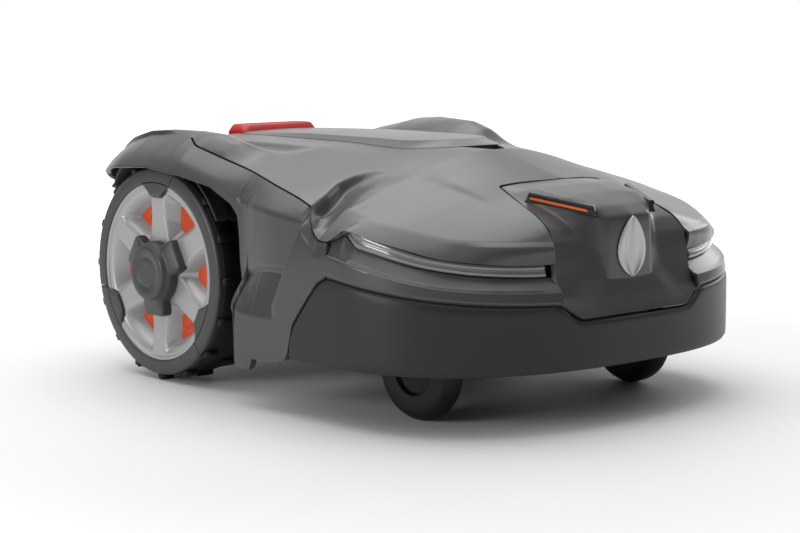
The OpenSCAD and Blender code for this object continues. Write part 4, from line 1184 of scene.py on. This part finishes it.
def material(name, color, rough, metal=0.0, grain=0.05, grain_scale=900.0, coat=0.0, spec=0.5, dust=0.0):
    """Plastic, rubber or metal: colour and gloss vary gently, and a fine grain breaks the surface."""
    mat = bpy.data.materials.new(name)
    mat.use_nodes = True
    nt = mat.node_tree
    links = nt.links
    shader = nt.nodes["Principled BSDF"]
    set_inputs(shader, {"Metallic": metal, "Specular IOR Level": spec, "Coat Weight": coat,
                        "Coat Roughness": 0.08})
    place = add_node(nt, "TexCoord")
    cloud = add_node(nt, "TexNoise")
    set_inputs(cloud, {"Scale": CLOUD_SCALE, "Detail": 4.0})
    links.new(place.outputs["Object"], cloud.inputs["Vector"])
    tone = add_node(nt, "ValToRGB")
    dark, light = tone.color_ramp.elements
    dark.position = 0.3
    light.position = 0.7
    dark.color = [c * (1 - TONE_SPREAD) for c in color] + [1]
    light.color = [min(c * (1 + TONE_SPREAD), 1) for c in color] + [1]
    links.new(cloud.outputs["Fac"], tone.inputs["Fac"])
    colour_out = tone.outputs["Color"]
    if dust:
        colour_out = add_dust(nt, place, colour_out, dust)
    links.new(colour_out, shader.inputs["Base Color"])
    gloss = add_node(nt, "MapRange")
    set_inputs(gloss, {"To Min": rough - GLOSS_SPREAD, "To Max": rough + GLOSS_SPREAD})
    links.new(cloud.outputs["Fac"], gloss.inputs["Value"])
    links.new(gloss.outputs["Result"], shader.inputs["Roughness"])
    fine = add_node(nt, "TexNoise")
    set_inputs(fine, {"Scale": grain_scale, "Detail": 2.0})
    links.new(place.outputs["Object"], fine.inputs["Vector"])
    bump_node = add_node(nt, "Bump")
    set_inputs(bump_node, {"Strength": grain, "Distance": GRAIN_DEPTH})
    links.new(fine.outputs["Fac"], bump_node.inputs["Height"])
    links.new(bump_node.outputs["Normal"], shader.inputs["Normal"])
    return mat


MATS = {
    "shell_grey": material("Satin_Grey_Plastic", (0.058, 0.058, 0.060), 0.29, grain=0.10),
    "bumper_black": material("Charcoal_Plastic", (0.020, 0.020, 0.021), 0.40, grain=0.16, spec=0.35),
    "lens": material("Smoked_Lens", (0.20, 0.205, 0.21), 0.14, metal=0.35, grain=0.02, coat=0.6),
    "eye_black": material("Gloss_Black_Plastic", (0.012, 0.012, 0.013), 0.16, grain=0.02),
    "reflector_orange": material("Orange_Reflector", (0.75, 0.13, 0.02), 0.25, grain=0.1, grain_scale=500,
                                 coat=0.5),
    "emblem_silver": material("Satin_Silver_Badge", (0.48, 0.485, 0.49), 0.36, metal=0.5, grain=0.05),
    "stop_red": material("Red_Plastic", (0.50, 0.008, 0.008), 0.30, grain=0.05),
    "chassis_black": material("Chassis_Black_Plastic", (0.022, 0.022, 0.023), 0.55, grain=0.3,
                              grain_scale=500, dust=0.3),
    "frame_grey": material("Dark_Grey_Plastic", (0.06, 0.06, 0.062), 0.5, grain=0.2),
    "steel": material("Turned_Steel", (0.58, 0.58, 0.59), 0.28, metal=1.0, grain=0.1, grain_scale=700),
    "boot_rubber": material("Soft_Rubber", (0.02, 0.02, 0.02), 0.8, grain=0.4),
    "battery_blue": material("Battery_Sleeve", (0.05, 0.10, 0.24), 0.35, grain=0.05),
    "board_green": material("Circuit_Board", (0.015, 0.14, 0.05), 0.4, grain=0.1),
    "motor_grey": material("Cast_Motor_Can", (0.24, 0.24, 0.25), 0.42, metal=0.8, grain=0.3,
                           grain_scale=400),
    "display_black": material("Display_Glass", (0.01, 0.012, 0.014), 0.08, grain=0.0, coat=0.6),
    "contact_brass": material("Brass_Contact", (0.62, 0.42, 0.16), 0.3, metal=1.0, grain=0.1),
    "key_green": material("Green_Key", (0.03, 0.27, 0.08), 0.42, grain=0.1),
    "knob_orange": material("Orange_Knob", (0.70, 0.16, 0.02), 0.42, grain=0.1),
    "blade_steel": material("Spring_Steel", (0.62, 0.63, 0.65), 0.22, metal=1.0, grain=0.08),
    "tyre_black": material("Tyre_Rubber", (0.009, 0.009, 0.0095), 0.50, grain=0.5, grain_scale=450,
                           spec=0.35),
    "wheel_grey": material("Wheel_Grey_Plastic", (0.048, 0.049, 0.050), 0.40, grain=0.14),
    "wheel_silver": material("Silver_Painted_Plastic", (0.40, 0.40, 0.40), 0.34, metal=0.4, grain=0.06),
    "liner_orange": material("Orange_Liner", (0.60, 0.06, 0.008), 0.45, grain=0.1),
}
node_slot = {}
for row in frame["record"].get("subparts", []):
    node_slot[row["node"]] = row["material_slot"]
for name, obj in frame["nodes"].items():
    key = node_slot.get(name)
    if key in MATS:
        for i in range(max(1, len(obj.material_slots))):
            if obj.material_slots:
                obj.material_slots[i].material = MATS[key]
            else:
                obj.data.materials.append(MATS[key])
for obj in bpy.data.objects:
    if obj.type == "MESH" and obj.get("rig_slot") in MATS and not obj.get("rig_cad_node"):
        obj.data.materials.clear()
        obj.data.materials.append(MATS[obj["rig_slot"]])

# ---------------------------------------------------------------- stage, light and camera


def smooth_range(tree, low, high, to_low=0.0, to_high=1.0):
    """A node that turns the span from low to high into to_low to to_high with soft ends."""
    node = add_node(tree, "MapRange", interpolation_type="SMOOTHSTEP")
    set_inputs(node, {"From Min": low, "From Max": high, "To Min": to_low, "To Max": to_high})
    return node


FLOOR_HALF = 9000


def make_floor():
    """A pale floor with a painted glow that grows away from the mower, so that it fades to white like a
    studio sweep.
    """
    corners = [(x * FLOOR_HALF, y * FLOOR_HALF, 0) for x, y in ((-1, -1), (1, -1), (1, 1), (-1, 1))]
    floor = mesh_object("Floor", corners, [(0, 1, 2, 3)])
    mat = bpy.data.materials.new("Pale_Floor")
    mat.use_nodes = True
    tree = mat.node_tree
    links = tree.links
    shader = tree.nodes["Principled BSDF"]
    set_inputs(shader, {"Base Color": (0.80, 0.80, 0.80, 1), "Roughness": 0.6, "Specular IOR Level": 0.2,
                        "Emission Color": (1, 1, 1, 1)})
    spot = add_node(tree, "TexCoord")
    distance = add_node(tree, "VectorMath", operation="LENGTH")
    # painted glow: the floor emits light, none within 0.45 m of the mower and rising to 0.75 at 1.5 m
    painted_glow = smooth_range(tree, 0.45, 1.5, to_high=0.75)
    # far out towards -X and +Y the painted glow dies away again, leaving that side of the floor darker
    side = add_node(tree, "VectorMath", operation="DOT_PRODUCT")
    side.inputs[1].default_value = (0.86, -0.51, 0)
    painted_glow_side_cut = smooth_range(tree, -0.85, -0.45)
    both = add_node(tree, "Math", operation="MULTIPLY")
    links.new(spot.outputs["Object"], distance.inputs[0])
    links.new(distance.outputs["Value"], painted_glow.inputs["Value"])
    links.new(spot.outputs["Object"], side.inputs[0])
    links.new(side.outputs["Value"], painted_glow_side_cut.inputs["Value"])
    links.new(painted_glow.outputs["Result"], both.inputs[0])
    links.new(painted_glow_side_cut.outputs["Result"], both.inputs[1])
    links.new(both.outputs["Value"], shader.inputs["Emission Strength"])
    floor.data.materials.append(mat)
    return floor


floor = make_floor()


def make_world():
    """White light from behind the mower and overhead, dark in front of it."""
    world = bpy.data.worlds.new("Studio")
    bpy.context.scene.world = world
    world.use_nodes = True
    tree = world.node_tree
    links = tree.links
    sky = add_node(tree, "TexCoord")
    behind = add_node(tree, "VectorMath", operation="DOT_PRODUCT")
    behind.inputs[1].default_value = (0.67, 0.74, 0)
    back_light = smooth_range(tree, 0.30, 0.85, to_low=0.05)
    up = add_node(tree, "SeparateXYZ")
    overhead = smooth_range(tree, 0.15, 0.95, to_high=0.75)
    brighter = add_node(tree, "Math", operation="MAXIMUM")
    links.new(sky.outputs["Generated"], behind.inputs[0])
    links.new(behind.outputs["Value"], back_light.inputs["Value"])
    links.new(sky.outputs["Generated"], up.inputs["Vector"])
    links.new(up.outputs["Z"], overhead.inputs["Value"])
    links.new(back_light.outputs["Result"], brighter.inputs[0])
    links.new(overhead.outputs["Result"], brighter.inputs[1])
    links.new(brighter.outputs["Value"], tree.nodes["Background"].inputs["Strength"])
    tree.nodes["Background"].inputs["Color"].default_value = (1, 1, 1, 1)


make_world()


def area(name, place, target, size, power, size_y=None):
    data = bpy.data.lights.new(name, "AREA")
    data.energy = power
    data.shape = "RECTANGLE"
    data.size = size
    data.size_y = size_y or size
    obj = bpy.data.objects.new(name, data)
    bpy.context.scene.collection.objects.link(obj)
    obj.location = place
    direction = Vector(target) - Vector(place)
    obj.rotation_mode = "QUATERNION"
    obj.rotation_quaternion = direction.to_track_quat("-Z", "Y")
    return obj


area("Top_Softbox", (0.1, 0.5, 1.9), (0, 0, 0.1), 2.2, 30)
area("Left_Softbox", (-2.3, 0.35, 0.7), (0, 0, 0.12), 1.0, 18, 0.8)
area("Right_Softbox", (2.1, 0.1, 0.9), (0, 0, 0.15), 1.0, 7, 0.8)

cam_data = bpy.data.cameras.new("Camera")
cam_data.sensor_width = 36.0
cam_data.lens = 90.27
cam = bpy.data.objects.new("Camera", cam_data)
bpy.context.scene.collection.objects.link(cam)
cam.location = (-1.33666, -1.45408, 0.36569)
cam.rotation_euler = (math.radians(90 - 7.35), 0, math.radians(-42.04))
bpy.context.scene.camera = cam
bpy.context.scene.view_settings.view_transform = "Standard"
